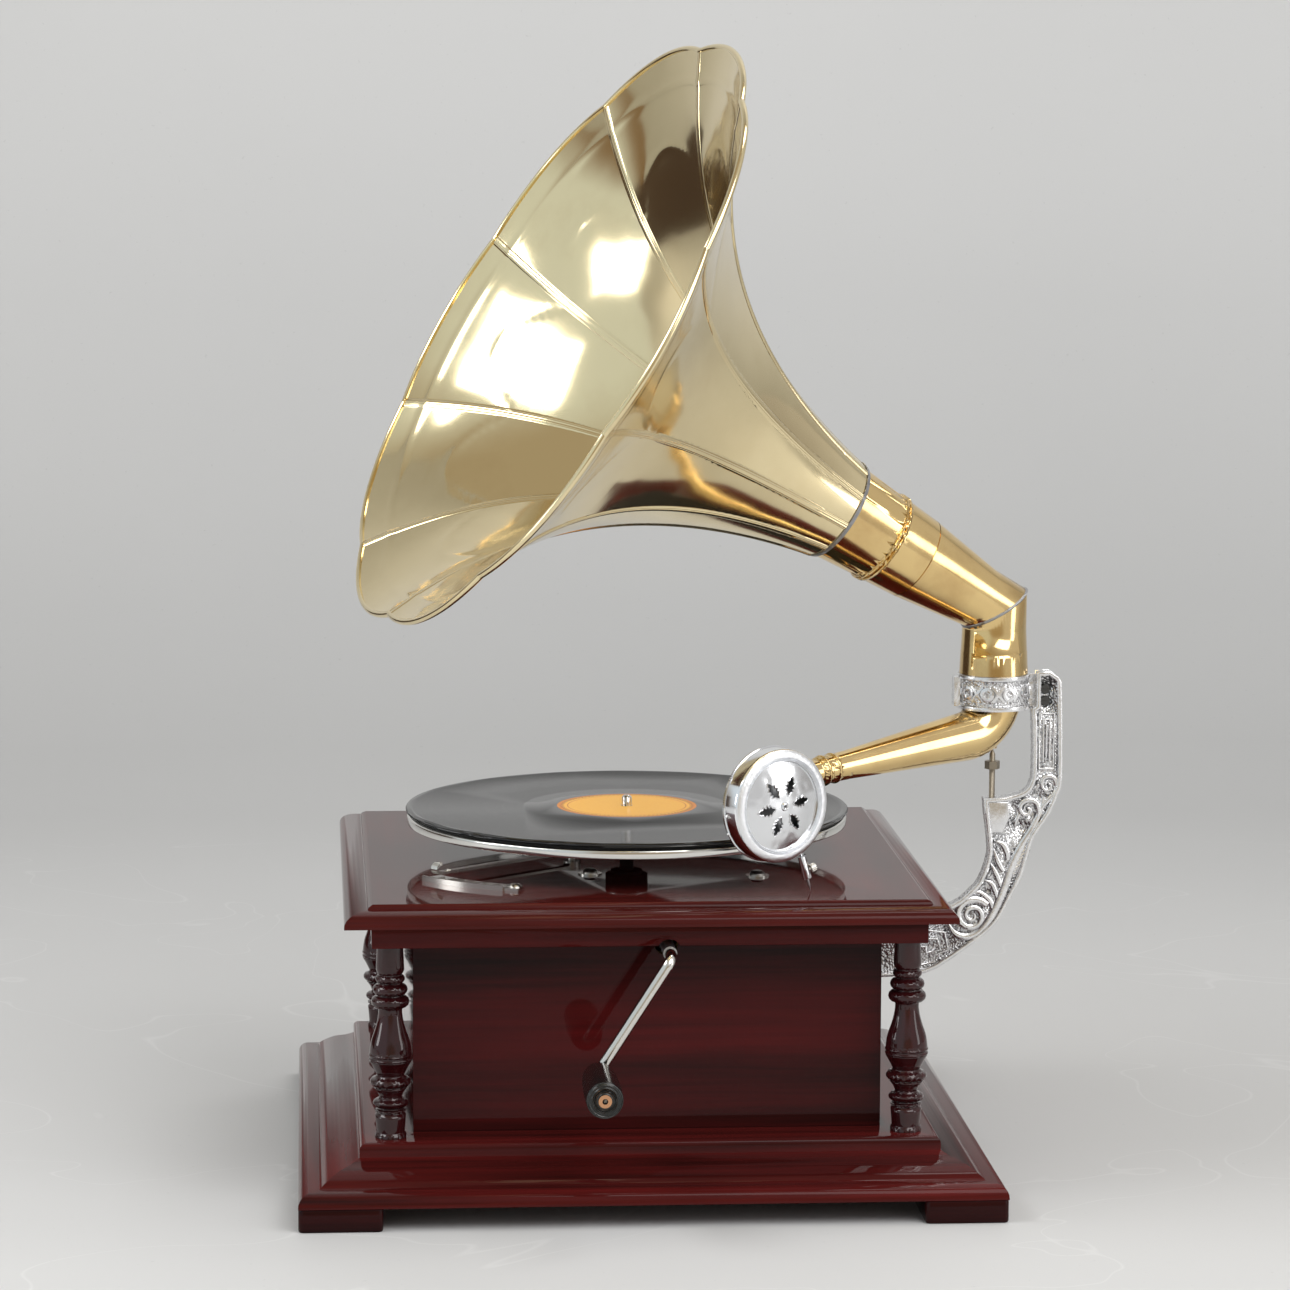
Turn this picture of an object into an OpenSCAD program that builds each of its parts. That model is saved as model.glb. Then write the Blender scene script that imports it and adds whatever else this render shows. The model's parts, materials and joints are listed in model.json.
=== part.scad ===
// Horn gramophone: a spring-driven turntable in a moulded wooden case,
// with a ten-petal brass horn carried on a cast bracket.
// Millimetres, +Z up. The origin is the centre of the case on the floor.
// -Y is the crank's side, -X is the side that the horn opens to, +X carries the bracket.

/* [Plinth] */
// Side of each square corner foot
foot_size = 45; // [35:1:60]
// Height of the corner feet
foot_height = 12.6; // [8:0.2:20]
// Height of the rounded nose at the bottom of the plinth moulding
nose_height = 7.9; // [6:0.1:10]
// Width of the flat step above the nose
tread = 11.3; // [9.5:0.1:14]
// Height of the ogee
ogee_height = 11.9; // [8:0.1:16]
// How far the ogee runs inwards
ogee_run = 21.5; // [16:0.1:26]
// Height of the bead along the top of the plinth
bead_height = 7.4; // [6:0.1:10]
// How far the bead runs inwards
bead_run = 3.6; // [2:0.1:5]
// How far the flat top of the plinth runs out past the centres of the columns
top_margin = 13.4; // [12.2:0.1:16]
// Thickness of the board that closes the top of the plinth
base_board_t = 10; // [6:0.5:14]

/* [Case] */
// Outer width of the square case
body_width = 254; // [240:1:270]
// Thickness of the case panels
panel_t = 9; // [6:0.5:12]
// Height of the corner columns and of the case panels
column_height = 104.7; // [90:0.5:120]
// Largest radius of a corner column
column_r = 11.7; // [9:0.1:13]
// How far a column's centre stands out from the faces of the case
column_out = 12.5; // [11:0.1:14]
// How far a column's centre stands in from the frieze's face
column_inset = 10; // [9.8:0.1:11]
// Height of the frieze rail under the lid
frieze_height = 13.1; // [10:0.1:20]
// How far the lid's bottom edge stands out from the frieze
lid_overhang = 14.7; // [13:0.1:18]
// Thickness of the lid
lid_t = 10.9; // [9:0.1:16]
// Run of the rounded edge of the lid
lid_round = 12; // [9:0.1:14]

/* [Turntable] */
// Record diameter: a ten-inch disc
record_d = 250; // [240:1:254]
// Record thickness
record_t = 2.2; // [1.6:0.1:3]
// Label diameter
label_d = 79; // [70:1:100]
// Diameter of the spindle where the record sits
spindle_d = 6.4; // [5:0.1:7.2]
// Gap from the lid up to the underside of the platter
platter_gap = 18.5; // [17.5:0.1:22]
// Height of the platter's rim
platter_h = 5.1; // [4:0.1:8]
// Thickness of the felt mat
mat_t = 1.5; // [1:0.1:3]
// How far the spindle stands above the record
spindle_tip = 6; // [4:0.5:10]
// Distance of the spindle to the left of the case's centre
spindle_x = -3; // [-6:0.5:2]

/* [Bracket and collar] */
// Distance from the case's right wall to the upright axis of the collar
collar_reach = 78.3; // [74:0.1:84]
// Height of the collar's underside above the top of the lid
collar_rise = 82.1; // [80:0.1:90]
// Height of the collar band
collar_h = 19.5; // [16:0.1:24]
// Radius of the outside of the collar
collar_r = 20.8; // [20.2:0.1:24]
// Thickness of the bracket casting
bracket_t = 9; // [7:0.5:12]
// Width of the raised border round the casting
border_w = 2.6; // [1.5:0.1:4]
// Depth of the sunk ground inside the border, on each face
relief = 1.4; // [0.8:0.1:2]
// Radius of the pivot rod under the tonearm
pivot_rod_r = 1.65; // [1.2:0.05:2.2]

/* [Horn] */
// Angle that the horn's axis rises at
horn_rise = 31; // [25:1:38]
// Angle that the horn is turned towards the crank's side
horn_turn = 15.5; // [0:0.5:45]
// Height of the elbow's mitre above the collar
elbow_rise = 37.8; // [32:0.1:46]
// Number of petals in the bell
petals = 10; // [8:1:12]
// Radius of the mouth at the seams
mouth_r = 175.3; // [150:1:190]
// How far the petals swell past the seams at the rim
petal_swell = 5.5; // [2:0.5:9]
// Length of the bell along its axis
bell_length = 197; // [180:1:215]
// Length of the neck from the mitre to the bell
neck_length = 114.7; // [105:0.5:125]
// Radius of the bell where it meets the neck
throat_r = 29.4; // [28:0.1:32]
// Thickness of the sheet brass, drawn a little heavy
sheet_t = 1.1; // [0.9:0.1:1.6]
// Radius of the wire rolled into the rim
rim_r = 1.8; // [1.2:0.1:2.6]
// Height of the folded seams between the petals
seam_h = 0.8; // [0.4:0.1:1.4]
// Width of a folded seam
seam_w = 5; // [3:0.5:7]
// Radius of the elbow pipe where it stands on the collar
stub_r = 19.4; // [19.2:0.1:20.5]

/* [Tonearm and soundbox] */
// Angle that the tonearm is turned towards the crank's side at rest
arm_angle = 31.6; // [30:0.2:36]
// Angle that the tonearm slopes down at
arm_slope = 5.8; // [4:0.1:6.4]
// Reach from the collar's axis to the soundbox's axis
arm_reach = 188.8; // [184:0.2:194]
// Outer radius of the tonearm in the collar
arm_r_top = 16.6; // [15:0.1:16.8]
// Outer radius of the tonearm after its bend
arm_r_mid = 14; // [12:0.1:15]
// Outer radius of the tonearm at its end
arm_r_end = 7.9; // [7.8:0.1:9]
// Radius of the tonearm's bend
arm_bend_r = 22.5; // [20:0.5:26]
// Outer radius of the gooseneck tube
goose_r = 6.75; // [5.5:0.05:6.8]
// Distance from the tonearm's axis to the middle of the soundbox
goose_offset = 44.6; // [43:0.2:50]
// Soundbox diameter
soundbox_d = 62.5; // [58:0.5:64]
// Soundbox thickness
soundbox_t = 13; // [11:0.5:16]
// Number of leaf-shaped openings in the grille
grille_leaves = 6; // [4:1:8]

/* [Crank] */
// Height of the crank's shaft above the floor
crank_z = 141.5; // [140:0.1:142]
// Distance of the crank's shaft to the right of the case's centre
crank_x = 9.7; // [5:0.1:14]
// Throw of the crank, from the shaft's axis to the grip's axis
crank_throw = 73.5; // [60:0.5:85]
// Angle of the crank from straight down, at rest
crank_angle = 32.7; // [0:0.1:60]
// Radius of the crank rod
crank_rod_r = 3.15; // [2.5:0.05:3.6]
// Length of the wooden grip
grip_length = 55; // [40:1:70]
// Radius of the wooden grip
grip_r = 10; // [8:0.5:13]

/* [Speed lever] */
// Radius of the outer edge of the scale plate, about the lever's pivot
scale_r = 106; // [100:1:110]
// Width of the scale plate
scale_w = 13; // [9:0.5:14]
// Angle of the lever, from +X, at rest
lever_angle = 219.7; // [218:0.1:222]
// Thickness of the lever strip
lever_t = 1.4; // [1:0.1:2]

/* [Motor] */
// Gear module of the drive train
drive_module = 1; // [0.9:0.05:1.05]
// Teeth on the spindle's pinion
pinion_teeth = 12; // [12:1:14]
// Teeth on the great wheel of the spring barrel
great_teeth = 72; // [70:1:76]
// Teeth on the worm wheel of the spindle
worm_teeth = 24; // [20:1:24]
// Radius of the governor's friction disc
governor_r = 11.5; // [9:0.5:12]
// Teeth on the winding pinion
wind_pinion_teeth = 12; // [12:1:12]
// Teeth on the crown wheel
crown_teeth = 48; // [48:1:48]
// Mean radius of the crown wheel's teeth
crown_r = 25; // [24:0.1:26]
// Thickness of the motor's plates
plate_t = 2.5; // [2:0.1:3]

/* [Fits] */
// Radial clearance of a shaft that turns in its bore
run_fit = 0.05; // [0.03:0.01:0.08]
// Gap between parts that pass without touching
free_gap = 0.3; // [0.25:0.01:0.4]

/* [Hidden] */

$fn = 64;

// Heights, from the floor up
nose_z = foot_height + nose_height;
ogee_z = nose_z + ogee_height;
platform_z = ogee_z + bead_height;
frieze_z = platform_z + column_height;
lid_z = frieze_z + frieze_height;
lid_top = lid_z + lid_t;
platter_z = lid_top + platter_gap;
mat_z = platter_z + platter_h;
record_z = mat_z + mat_t;
record_top = record_z + record_t;
spindle_top = record_top + spindle_tip;
collar_z = lid_top + collar_rise;
collar_top = collar_z + collar_h;
elbow_z = collar_top + elbow_rise;

// Half widths
body_half = body_width / 2;
column_at = body_half + column_out;
well_half = body_half - panel_t;
frieze_half = column_at + column_inset;
lid_half = frieze_half + lid_overhang;
platform_half = column_at + top_margin;
plinth_half = platform_half + bead_run + ogee_run + tread;
lid_fillet = 1.5;
lid_step = 2.4;
collar_x = body_half + collar_reach;

// Drilled hole for the crank, bracket plate and the bracket's own levels
crank_hole_r = 6.5;
foot_plate_t = 4;
foot_plate_w = 34;
foot_plate_low = lid_z - 67;
foot_plate_high = frieze_z - 1.5;
foot_screw_r = 1.8;
foot_screw_y = 11;
foot_screw_z = [foot_plate_low + 8, foot_plate_high - 8];
tongue_x = collar_x + 24.2;
shelf_z = lid_top + 30.3;
lug_w = 9.6;
lap_y = 0.5;
lap_screw_x = collar_x + 29.2;
lap_screw_r = 1.5;
lap_head_r = 2.5;
lap_screw_z = [collar_z + 3.9, collar_z + 10.7];
nut_w = 8.7;
nut_h = 4.5;

// Tonearm: height of its axis at the collar, top of its bend, and the turning joint at its end
arm_z0 = collar_z - 12.9;
arm_bend_top = arm_z0 + arm_bend_r * (cos(arm_slope) - tan(arm_slope) * (1 - sin(arm_slope)));
ring_x = arm_reach - 68.8;
spigot_r = stub_r - 1;
spigot_h = 8.7;
relief_r = arm_r_top + 2.65;
cup_z = arm_z0 - 10.6;

// Horn: elbow pipe radii and the curve of the bell
mitre_r = 18.2;
mitre_s = 12;
stub_z = collar_top + free_gap;
foot_s = stub_z + spigot_h + 2 - elbow_z;
socket_r = 24.2;
socket_s = 58;
flare_cone = 0.243;
flare_growth = 1.287;
flare_power = 1.857;
bell_stations = 16;
seam_phase = 1.8;

// Needle and its holder, in the soundbox's frame
needle_r = 0.75;
holder_turn = 17.2;
holder_x = 17.64;
holder_y = -29.66;
holder_r = 2.4;
holder_length = 13;
bar_x = holder_x - 6 * sin(holder_turn);
bar_y = holder_y + 6 * cos(holder_turn);
bar_angle = atan2(bar_y, bar_x);
needle_end = (holder_y + arm_z(arm_reach) - lid_top - free_gap) / cos(holder_turn);

// Turntable
hub_r = 12;
hub_drop = 7;
boss_rise = 9.5;
platter_r = record_d / 2 - 0.8;
sheet_steel = 1.5;
groove_depth = 0.3;
dead_wax_r = 58;
label_t = 0.3;

// Motor: levels, shafts and gears
top_plate_z = lid_z - 5.6 - plate_t;
low_plate_z = top_plate_z - 54.5;
barrel_z = low_plate_z + 4;
great_z = barrel_z + 22;
great_t = 3;
crown_z = crank_z - 7.7;
worm_z = great_z + 14;
pivot_r = 3;
shaft_r = 4;
arbor_r = 5;
great_r = great_teeth * drive_module / 2;
drum_r = great_r - 2.5 * drive_module;
axes_apart = drive_module * (great_teeth + pinion_teeth) / 2;
barrel_y = -sqrt(axes_apart * axes_apart - (crank_x - spindle_x) * (crank_x - spindle_x));
barrel_bearing = atan2(-barrel_y, spindle_x - crank_x);
worm_r = 4;
worm_wheel_r = worm_teeth * drive_module / 2;
governor_x = spindle_x - worm_wheel_r - worm_r;
governor_shaft_r = 2;
governor_ends = [-14, 62];
brake_y = 21;
pillar_r = 4;
pillar_at = [[-38, -78], [70, -78], [70, 60], [-38, 66]];
motor_screw_r = 2;
motor_screw_at = [[-27.8, -65.1], [63.8, -75.9], [18, 62]];
washer_t = 0.8;
lid_spindle_hole_r = 8;

// Crank
wind_shaft_r = 3.75;
shaft_out = frieze_half + 5.5;
crank_plane = shaft_out + 14.5;
crank_bend = 6;
grip_z = crank_plane + 8.5;
grip_pin_r = 2.3;

// Speed lever
lever_x = -35;
lever_y = -17;
lever_shaft_r = 2.5;
lever_z = lid_top + 3.5;
scale_t = 1.5;

// Colours
wood = [0.30, 0.07, 0.06];
wood_dark = [0.22, 0.05, 0.05];
brass = [0.83, 0.66, 0.33];
aluminium = [0.78, 0.79, 0.80];
chrome = [0.86, 0.87, 0.89];
nickel = [0.75, 0.74, 0.70];
steel = [0.60, 0.61, 0.63];
solder = [0.72, 0.73, 0.74];
black = [0.06, 0.06, 0.06];
rubber = [0.12, 0.11, 0.11];

// Points of an arc about [x, y], from angle a0 to angle a1
function arc(x, y, r, a0, a1, n = 6) =
    [for (i = [0:n]) let (a = a0 + (a1 - a0) * i / n) [x + r * cos(a), y + r * sin(a)]];

// Points of a half-round bead on a turned profile, as [radius, height]
function bead(z0, z1, r0, r1, n = 6) =
    [for (i = [0:n]) let (a = -90 + 180 * i / n)
        [r0 + (r1 - r0) * cos(a), (z0 + z1) / 2 + (z1 - z0) / 2 * sin(a)]];

// One span of a Catmull-Rom curve
function span(a, b, c, d, t) =
    0.5 * (2 * b + (c - a) * t + (2 * a - 5 * b + 4 * c - d) * t * t + (3 * b - a - 3 * c + d) * t * t * t);

// A smooth open curve through the points p, with n steps between each two
function curve(p, n = 4) = let (m = len(p) - 1)
    concat([for (i = [0:m - 1], j = [0:n - 1])
        span(p[max(i - 1, 0)], p[i], p[i + 1], p[min(i + 2, m)], j / n)], [p[m]]);

// Closed skin over rings of points: each ring joins the next, and the last joins the first
module skin(rings) {
    n = len(rings[0]);
    m = len(rings);
    polyhedron([for (ring = rings) each ring], [for (j = [0:m - 1], i = [0:n - 1]) let (
            a = j * n,
            b = (j + 1) % m * n,
            k = (i + 1) % n)
        each [[a + i, b + i, b + k], [a + i, b + k, a + k]]]);
}

// A square slab whose edge on all four sides follows side, a list of [half width, height]
module moulded_slab(side) {
    outline = concat(side, [for (i = [len(side) - 1:-1:0]) [-side[i][0], side[i][1]]]);
    long = 2 * max([for (p = side) p[0]]) + 2;
    intersection() {
        rotate([90, 0, 0]) linear_extrude(long, center = true) polygon(outline);
        rotate([90, 0, 90]) linear_extrude(long, center = true) polygon(outline);
    }
}

// A square block, w wide, from height z0 to height z1
module square_block(w, z0, z1) {
    translate([-w / 2, -w / 2, z0]) cube([w, w, z1 - z0]);
}

// A round rod from point a to point b
module rod(a, b, r, r2 = -1) {
    v = b - a;
    translate(a)
        rotate([0, acos(v[2] / norm(v)), atan2(v[1], v[0])])
            cylinder(h = norm(v), r1 = r, r2 = r2 < 0 ? r : r2);
}

// The four corners, as signs
module at_corner(sx, sy, at) {
    translate([sx * at, sy * at, 0]) children();
}

module corner_foot(sx, sy) {
    round = 3;
    color(wood_dark)
        at_corner(sx, sy, plinth_half - foot_size / 2)
            linear_extrude(foot_height)
                polygon(concat(
                    arc(foot_size / 2 - round, foot_size / 2 - round, round, 0, 90),
                    arc(-foot_size / 2 + round, foot_size / 2 - round, round, 90, 180),
                    arc(-foot_size / 2 + round, -foot_size / 2 + round, round, 180, 270),
                    arc(foot_size / 2 - round, -foot_size / 2 + round, round, 270, 360)));
}

// Half section of the plinth moulding: nose, tread, ogee and bead
function plinth_side() = let (
        nose_r = nose_height - 1,
        step_half = plinth_half - tread,
        ogee_half = step_half - ogee_run)
    concat(
        [[plinth_half, foot_height]],
        arc(plinth_half - nose_r, foot_height + 1, nose_r, 0, 80),
        curve([
            [step_half, nose_z],
            [step_half - 0.14 * ogee_run, nose_z + 0.24 * ogee_height],
            [step_half - 0.46 * ogee_run, nose_z + 0.60 * ogee_height],
            [step_half - 0.78 * ogee_run, nose_z + 0.80 * ogee_height],
            [ogee_half, ogee_z]], 3),
        arc(ogee_half - bead_run, platform_z - bead_run, bead_run, 0, 90));

module plinth_moulding() {
    color(wood)
        difference() {
            moulded_slab(plinth_side());
            square_block(body_width + 6, foot_height - 1, platform_z + 1);
        }
}

module base_board() {
    color(wood_dark)
        square_block(body_width + 6, platform_z - base_board_t, platform_z);
}

module panel_front() {
    color(wood)
        difference() {
            translate([-body_half, -body_half, platform_z])
                cube([body_width, panel_t, column_height]);
            crank_hole();
        }
}

module panel_back() {
    color(wood)
        translate([-body_half, body_half - panel_t, platform_z])
            cube([body_width, panel_t, column_height]);
}

module panel_side(side) {
    color(wood)
        difference() {
            translate([side > 0 ? well_half : -body_half, -well_half, platform_z])
                cube([panel_t, 2 * well_half, column_height]);
            if (side > 0) foot_screw_holes(foot_screw_r);
        }
}

// The drilled hole that the crank passes through, half in the panel and half in the frieze
module crank_hole() {
    translate([crank_x, -well_half + 1, crank_z])
        rotate([90, 0, 0])
            cylinder(h = frieze_half - well_half + 4, r = crank_hole_r);
}

// Turned profile of a corner column, as [radius, height]; heights are shares of the column's height
function column_side() = let (h = column_height, r = column_r) concat(
    [[0, 0], [0.72 * r, 0], [0.72 * r, 0.02 * h], [0.65 * r, 0.03 * h], [0.72 * r, 0.12 * h]],
    bead(0.135 * h, 0.150 * h, 0.60 * r, 0.74 * r, 3),
    bead(0.157 * h, 0.202 * h, 0.56 * r, 0.82 * r, 6),
    [[0.52 * r, 0.212 * h], [0.60 * r, 0.235 * h], [0.78 * r, 0.262 * h]],
    bead(0.268 * h, 0.315 * h, 0.72 * r, 0.95 * r, 5),
    curve([[0.63 * r, 0.327 * h], [0.80 * r, 0.365 * h], [0.97 * r, 0.398 * h]], 3),
    bead(0.402 * h, 0.418 * h, 0.95 * r, 1.00 * r, 4),
    bead(0.424 * h, 0.440 * h, 0.96 * r, 1.00 * r, 4),
    curve([[0.97 * r, 0.445 * h], [0.90 * r, 0.500 * h], [0.72 * r, 0.560 * h],
        [0.60 * r, 0.610 * h], [0.55 * r, 0.650 * h]], 3),
    [[0.55 * r, 0.668 * h]],
    bead(0.678 * h, 0.740 * h, 0.60 * r, 0.88 * r, 6),
    bead(0.745 * h, 0.800 * h, 0.58 * r, 0.80 * r, 6),
    bead(0.808 * h, 0.848 * h, 0.52 * r, 0.68 * r, 5),
    [[0.60 * r, 0.860 * h], [0.65 * r, 0.875 * h], [0.60 * r, h], [0, h]]);

module column(sx, sy) {
    color(wood)
        at_corner(sx, sy, column_at)
            translate([0, 0, platform_z])
                rotate_extrude() polygon(column_side());
}

module frieze_rail() {
    color(wood_dark)
        difference() {
            square_block(2 * frieze_half, frieze_z, lid_z);
            square_block(2 * well_half, frieze_z - 1, lid_z + 1);
            crank_hole();
        }
}

// Half section of the lid: a small fillet, a rounded edge and a step up to the flat panel
function lid_side() = let (rise = lid_t - lid_fillet - lid_step) concat(
    [[lid_half, lid_z], [lid_half, lid_z + lid_fillet]],
    [for (i = [1:7]) let (a = 90 * i / 7)
        [lid_half - lid_round * (1 - cos(a)), lid_z + lid_fillet + rise * sin(a)]],
    [[lid_half - lid_round - 0.6, lid_z + lid_fillet + rise],
     [lid_half - lid_round - 1.2, lid_z + lid_fillet + rise + 1.2],
     [lid_half - lid_round - 3.4, lid_top]]);

module lid() {
    color(wood)
        difference() {
            moulded_slab(lid_side());
            translate([spindle_x, 0, lid_z - 1]) cylinder(h = lid_t + 2, r = lid_spindle_hole_r);
            translate([lever_x, lever_y, lid_z - 1]) cylinder(h = lid_t + 2, r = lever_shaft_r + free_gap);
            for (p = motor_screw_at)
                translate([p[0], p[1], lid_z - 1]) cylinder(h = lid_t + 2, r = motor_screw_r + free_gap);
        }
}

// Bracket: a flat casting in the XZ plane. Its lower half is placed from the wall and
// its upper half from the collar, so it stretches when either moves.

// Lower edge of the casting, from the wall up to the top of the post
function bracket_outer() = concat(
    [for (p = [[0, -62], [18, -61.5], [41, -59.4], [59, -49], [75, -37.2],
        [82.6, -29.1], [89, -17], [95.5, -4], [99.3, 9.2], [102.3, 18.8]])
        [body_half + p[0], lid_z + p[1]]],
    [for (p = [[32.6, -61.4], [37.4, -49.6], [39.5, -40.4], [39, -3], [38.3, 15.3]])
        [collar_x + p[0], collar_z + p[1]]]);

// Upper edge of the casting, from the top of the post down to the wall
function bracket_inner_post() = [for (p = [[21.6, -0.6], [22.4, -13.8], [22.6, -35.1], [21.6, -42.5],
        [17.8, -48], [7.3, -51.3]]) [collar_x + p[0], collar_z + p[1]]];
function bracket_inner_arm() = concat(
    [for (p = [[-4.4, -61], [-2.2, -79.6], [-2.9, -87.3]])
        [collar_x + p[0], collar_z + p[1]]],
    [for (p = [[71.5, -5.3], [66.5, -11.6], [56.2, -19.6], [38, -23], [18, -19], [0, -15.5]])
        [body_half + p[0], lid_z + p[1]]]);

function bracket_outline() = concat(
    curve(bracket_outer(), 3),
    [[collar_x + 36.8, collar_z + 17.5], [collar_x + 32, collar_top + 1.6],
        [tongue_x, collar_top + 1.2], [tongue_x, collar_z + 1]],
    curve(bracket_inner_post(), 3),
    [[collar_x - 5.1, collar_z - 52]],
    curve(bracket_inner_arm(), 3));

// Unit normal of the side from a to b, towards the inside of the outline
function side_normal(a, b) = let (t = (b - a) / norm(b - a)) [-t[1], t[0]];

// Inner copy of an outline, w inside every side of it
function inset(p, w) = let (n = len(p)) [for (i = [0:n - 1]) let (
        a = side_normal(p[(i + n - 1) % n], p[i]),
        b = side_normal(p[i], p[(i + 1) % n]))
    p[i] + w * (a + b) / (1 + a * b)];

module flat_cast(points, y0, y1) {
    translate([0, y1, 0]) rotate([90, 0, 0]) linear_extrude(y1 - y0) polygon(points);
}

// A scroll: a tapering flat spiral that starts at radius r and winds inwards
module scroll(x, z, r, turns, start, y0, y1, hand = 1) {
    steps = round(turns * 14);
    a = [for (i = [0:steps]) start + hand * 360 * turns * i / steps];
    outer = [for (i = [0:steps]) r * (1 - 0.80 * i / steps)];
    inner = [for (i = [0:steps]) outer[i] - 0.26 * r * (1 - 0.45 * i / steps)];
    flat_cast(concat(
        [for (i = [0:steps]) [x + outer[i] * cos(a[i]), z + outer[i] * sin(a[i])]],
        [for (i = [steps:-1:0]) [x + inner[i] * cos(a[i]), z + inner[i] * sin(a[i])]]), y0, y1);
}

module foot_screw_holes(r) {
    for (sy = [-1, 1], z = foot_screw_z)
        translate([well_half - 1, sy * foot_screw_y, z])
            rotate([0, 90, 0])
                cylinder(h = panel_t + foot_plate_t + 2, r = r);
}

module bracket() {
    y0 = -bracket_t / 2;
    y1 = bracket_t / 2;
    ground0 = y0 + relief;
    ground1 = y1 - relief;
    outline = bracket_outline();
    field = inset(outline, border_w);
    color(aluminium)
        difference() {
            union() {
                difference() {
                    flat_cast(outline, y0, y1);
                    flat_cast(field, y0 - 1, ground0);
                    flat_cast(field, ground1, y1 + 1);
                }
                // smooth panel under the shelf that holds the pivot rod
                flat_cast([
                    [collar_x - 2.8, shelf_z - 2], [collar_x + 9, shelf_z - 2.2],
                    [collar_x + 10, shelf_z - 11], [collar_x + 6, shelf_z - 20],
                    [collar_x - 0.8, shelf_z - 20]], y0 + 0.2, y1 - 0.2);
                // scrolls, on both faces
                scroll(body_half + 67, lid_z - 27.5, 12.5, 1.6, 150, y0 + 0.3, y1 - 0.3);
                scroll(collar_x + 21.5, collar_z - 59, 7.5, 1.4, 200, y0 + 0.3, y1 - 0.3);
                scroll(collar_x + 32.2, collar_z - 45.5, 5.6, 1.3, 20, y0 + 0.3, y1 - 0.3, -1);
                // key pattern in the post
                for (step = [[27.2, -34, 2, 26], [31.2, -34, 2, 22], [29.2, -34, 4, 2], [31.2, -14, 4.4, 2],
                        [33.8, -30, 1.8, 18]])
                    translate([collar_x + step[0], y0 + 0.4, collar_z + step[1]])
                        cube([step[2], bracket_t - 0.8, step[3]]);
                // ribs of the leaf below the smooth panel
                for (i = [0:4])
                    flat_cast([
                        [body_half + 76 + 3.1 * i, lid_z - 20 + 8.5 * i],
                        [body_half + 78.6 + 3.1 * i, lid_z - 22 + 8.5 * i],
                        [body_half + 83.5 + 2.8 * i, lid_z - 10 + 8.2 * i],
                        [body_half + 80.5 + 2.8 * i, lid_z - 8 + 8.2 * i]], y0 + 0.5, y1 - 0.5);
                // plate that is screwed to the wall
                translate([body_half, -foot_plate_w / 2, foot_plate_low])
                    cube([foot_plate_t, foot_plate_w, foot_plate_high - foot_plate_low]);
            }
            // lap joint for the collar's lug
            translate([tongue_x - 1, lap_y, collar_z - 1])
                cube([lug_w + 1.3, bracket_t, collar_h + 4]);
            for (z = lap_screw_z)
                translate([lap_screw_x, 0, z]) rotate([90, 0, 0]) {
                    cylinder(h = bracket_t, r = lap_screw_r, center = true);
                    translate([0, 0, -y0 - 1.6]) cylinder(h = 3, r = lap_head_r + 0.1);
                }
            foot_screw_holes(foot_screw_r);
            translate([collar_x, 0, shelf_z - 16]) cylinder(h = 20, r = pivot_rod_r);
        }
}

module bracket_screws() {
    color(steel)
        for (sy = [-1, 1], z = foot_screw_z)
            translate([body_half, sy * foot_screw_y, z]) rotate([0, 90, 0]) {
                translate([0, 0, -panel_t + 1.5])
                    cylinder(h = panel_t + foot_plate_t - 1.5, r = foot_screw_r);
                translate([0, 0, foot_plate_t]) intersection() {
                    cylinder(h = 2.4, r = 3.6);
                    translate([0, 0, -2.6]) sphere(r = 5);
                }
            }
}

module collar() {
    band_r = arm_r_top + run_fit;
    color(aluminium)
        difference() {
            union() {
                translate([collar_x, 0, collar_z]) {
                    rotate_extrude() polygon([
                        [band_r - 0.6, 0], [collar_r, 0], [collar_r, 2.2], [collar_r - 1, 2.8],
                        [collar_r - 1, collar_h - 2.8], [collar_r, collar_h - 2.2], [collar_r, collar_h],
                        [spigot_r, collar_h], [spigot_r, collar_h + spigot_h],
                        [band_r - 0.6, collar_h + spigot_h]]);
                    // cast crosses and rings round the band
                    for (i = [0:9]) rotate([0, 0, 18 + 36 * i])
                        translate([collar_r - 1.4, 0, collar_h / 2]) rotate([0, 90, 0]) {
                            rotate([0, 0, 38]) cube([11, 1.6, 2], center = true);
                            rotate([0, 0, -38]) cube([11, 1.6, 2], center = true);
                        }
                    for (i = [0:9]) rotate([0, 0, 36 * i])
                        translate([collar_r - 2.2, 0, collar_h / 2]) rotate([0, 90, 0])
                            difference() {
                                cylinder(h = 2, r = 4, $fn = 24);
                                translate([0, 0, 1]) cylinder(h = 2, r = 2, $fn = 24);
                            }
                }
                // lug behind the bracket's post
                translate([collar_x + band_r + 2, lap_y, collar_z + 0.3])
                    cube([tongue_x - collar_x - band_r - 2 + lug_w, 5, collar_h - 1]);
                // plain boss on the far side
                translate([collar_x - collar_r - 2.2, -5, collar_z + 1.5]) cube([4, 10, collar_h - 3]);
            }
            translate([collar_x, 0, collar_z - 1]) cylinder(h = collar_h + 12, r = band_r);
            translate([collar_x, 0, collar_z - 1])
                cylinder(h = arm_bend_top - collar_z + 1.5, r = relief_r);
            for (z = lap_screw_z)
                translate([lap_screw_x, 0, z]) rotate([90, 0, 0])
                    cylinder(h = 2 * bracket_t, r = lap_screw_r, center = true);
        }
}

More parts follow.
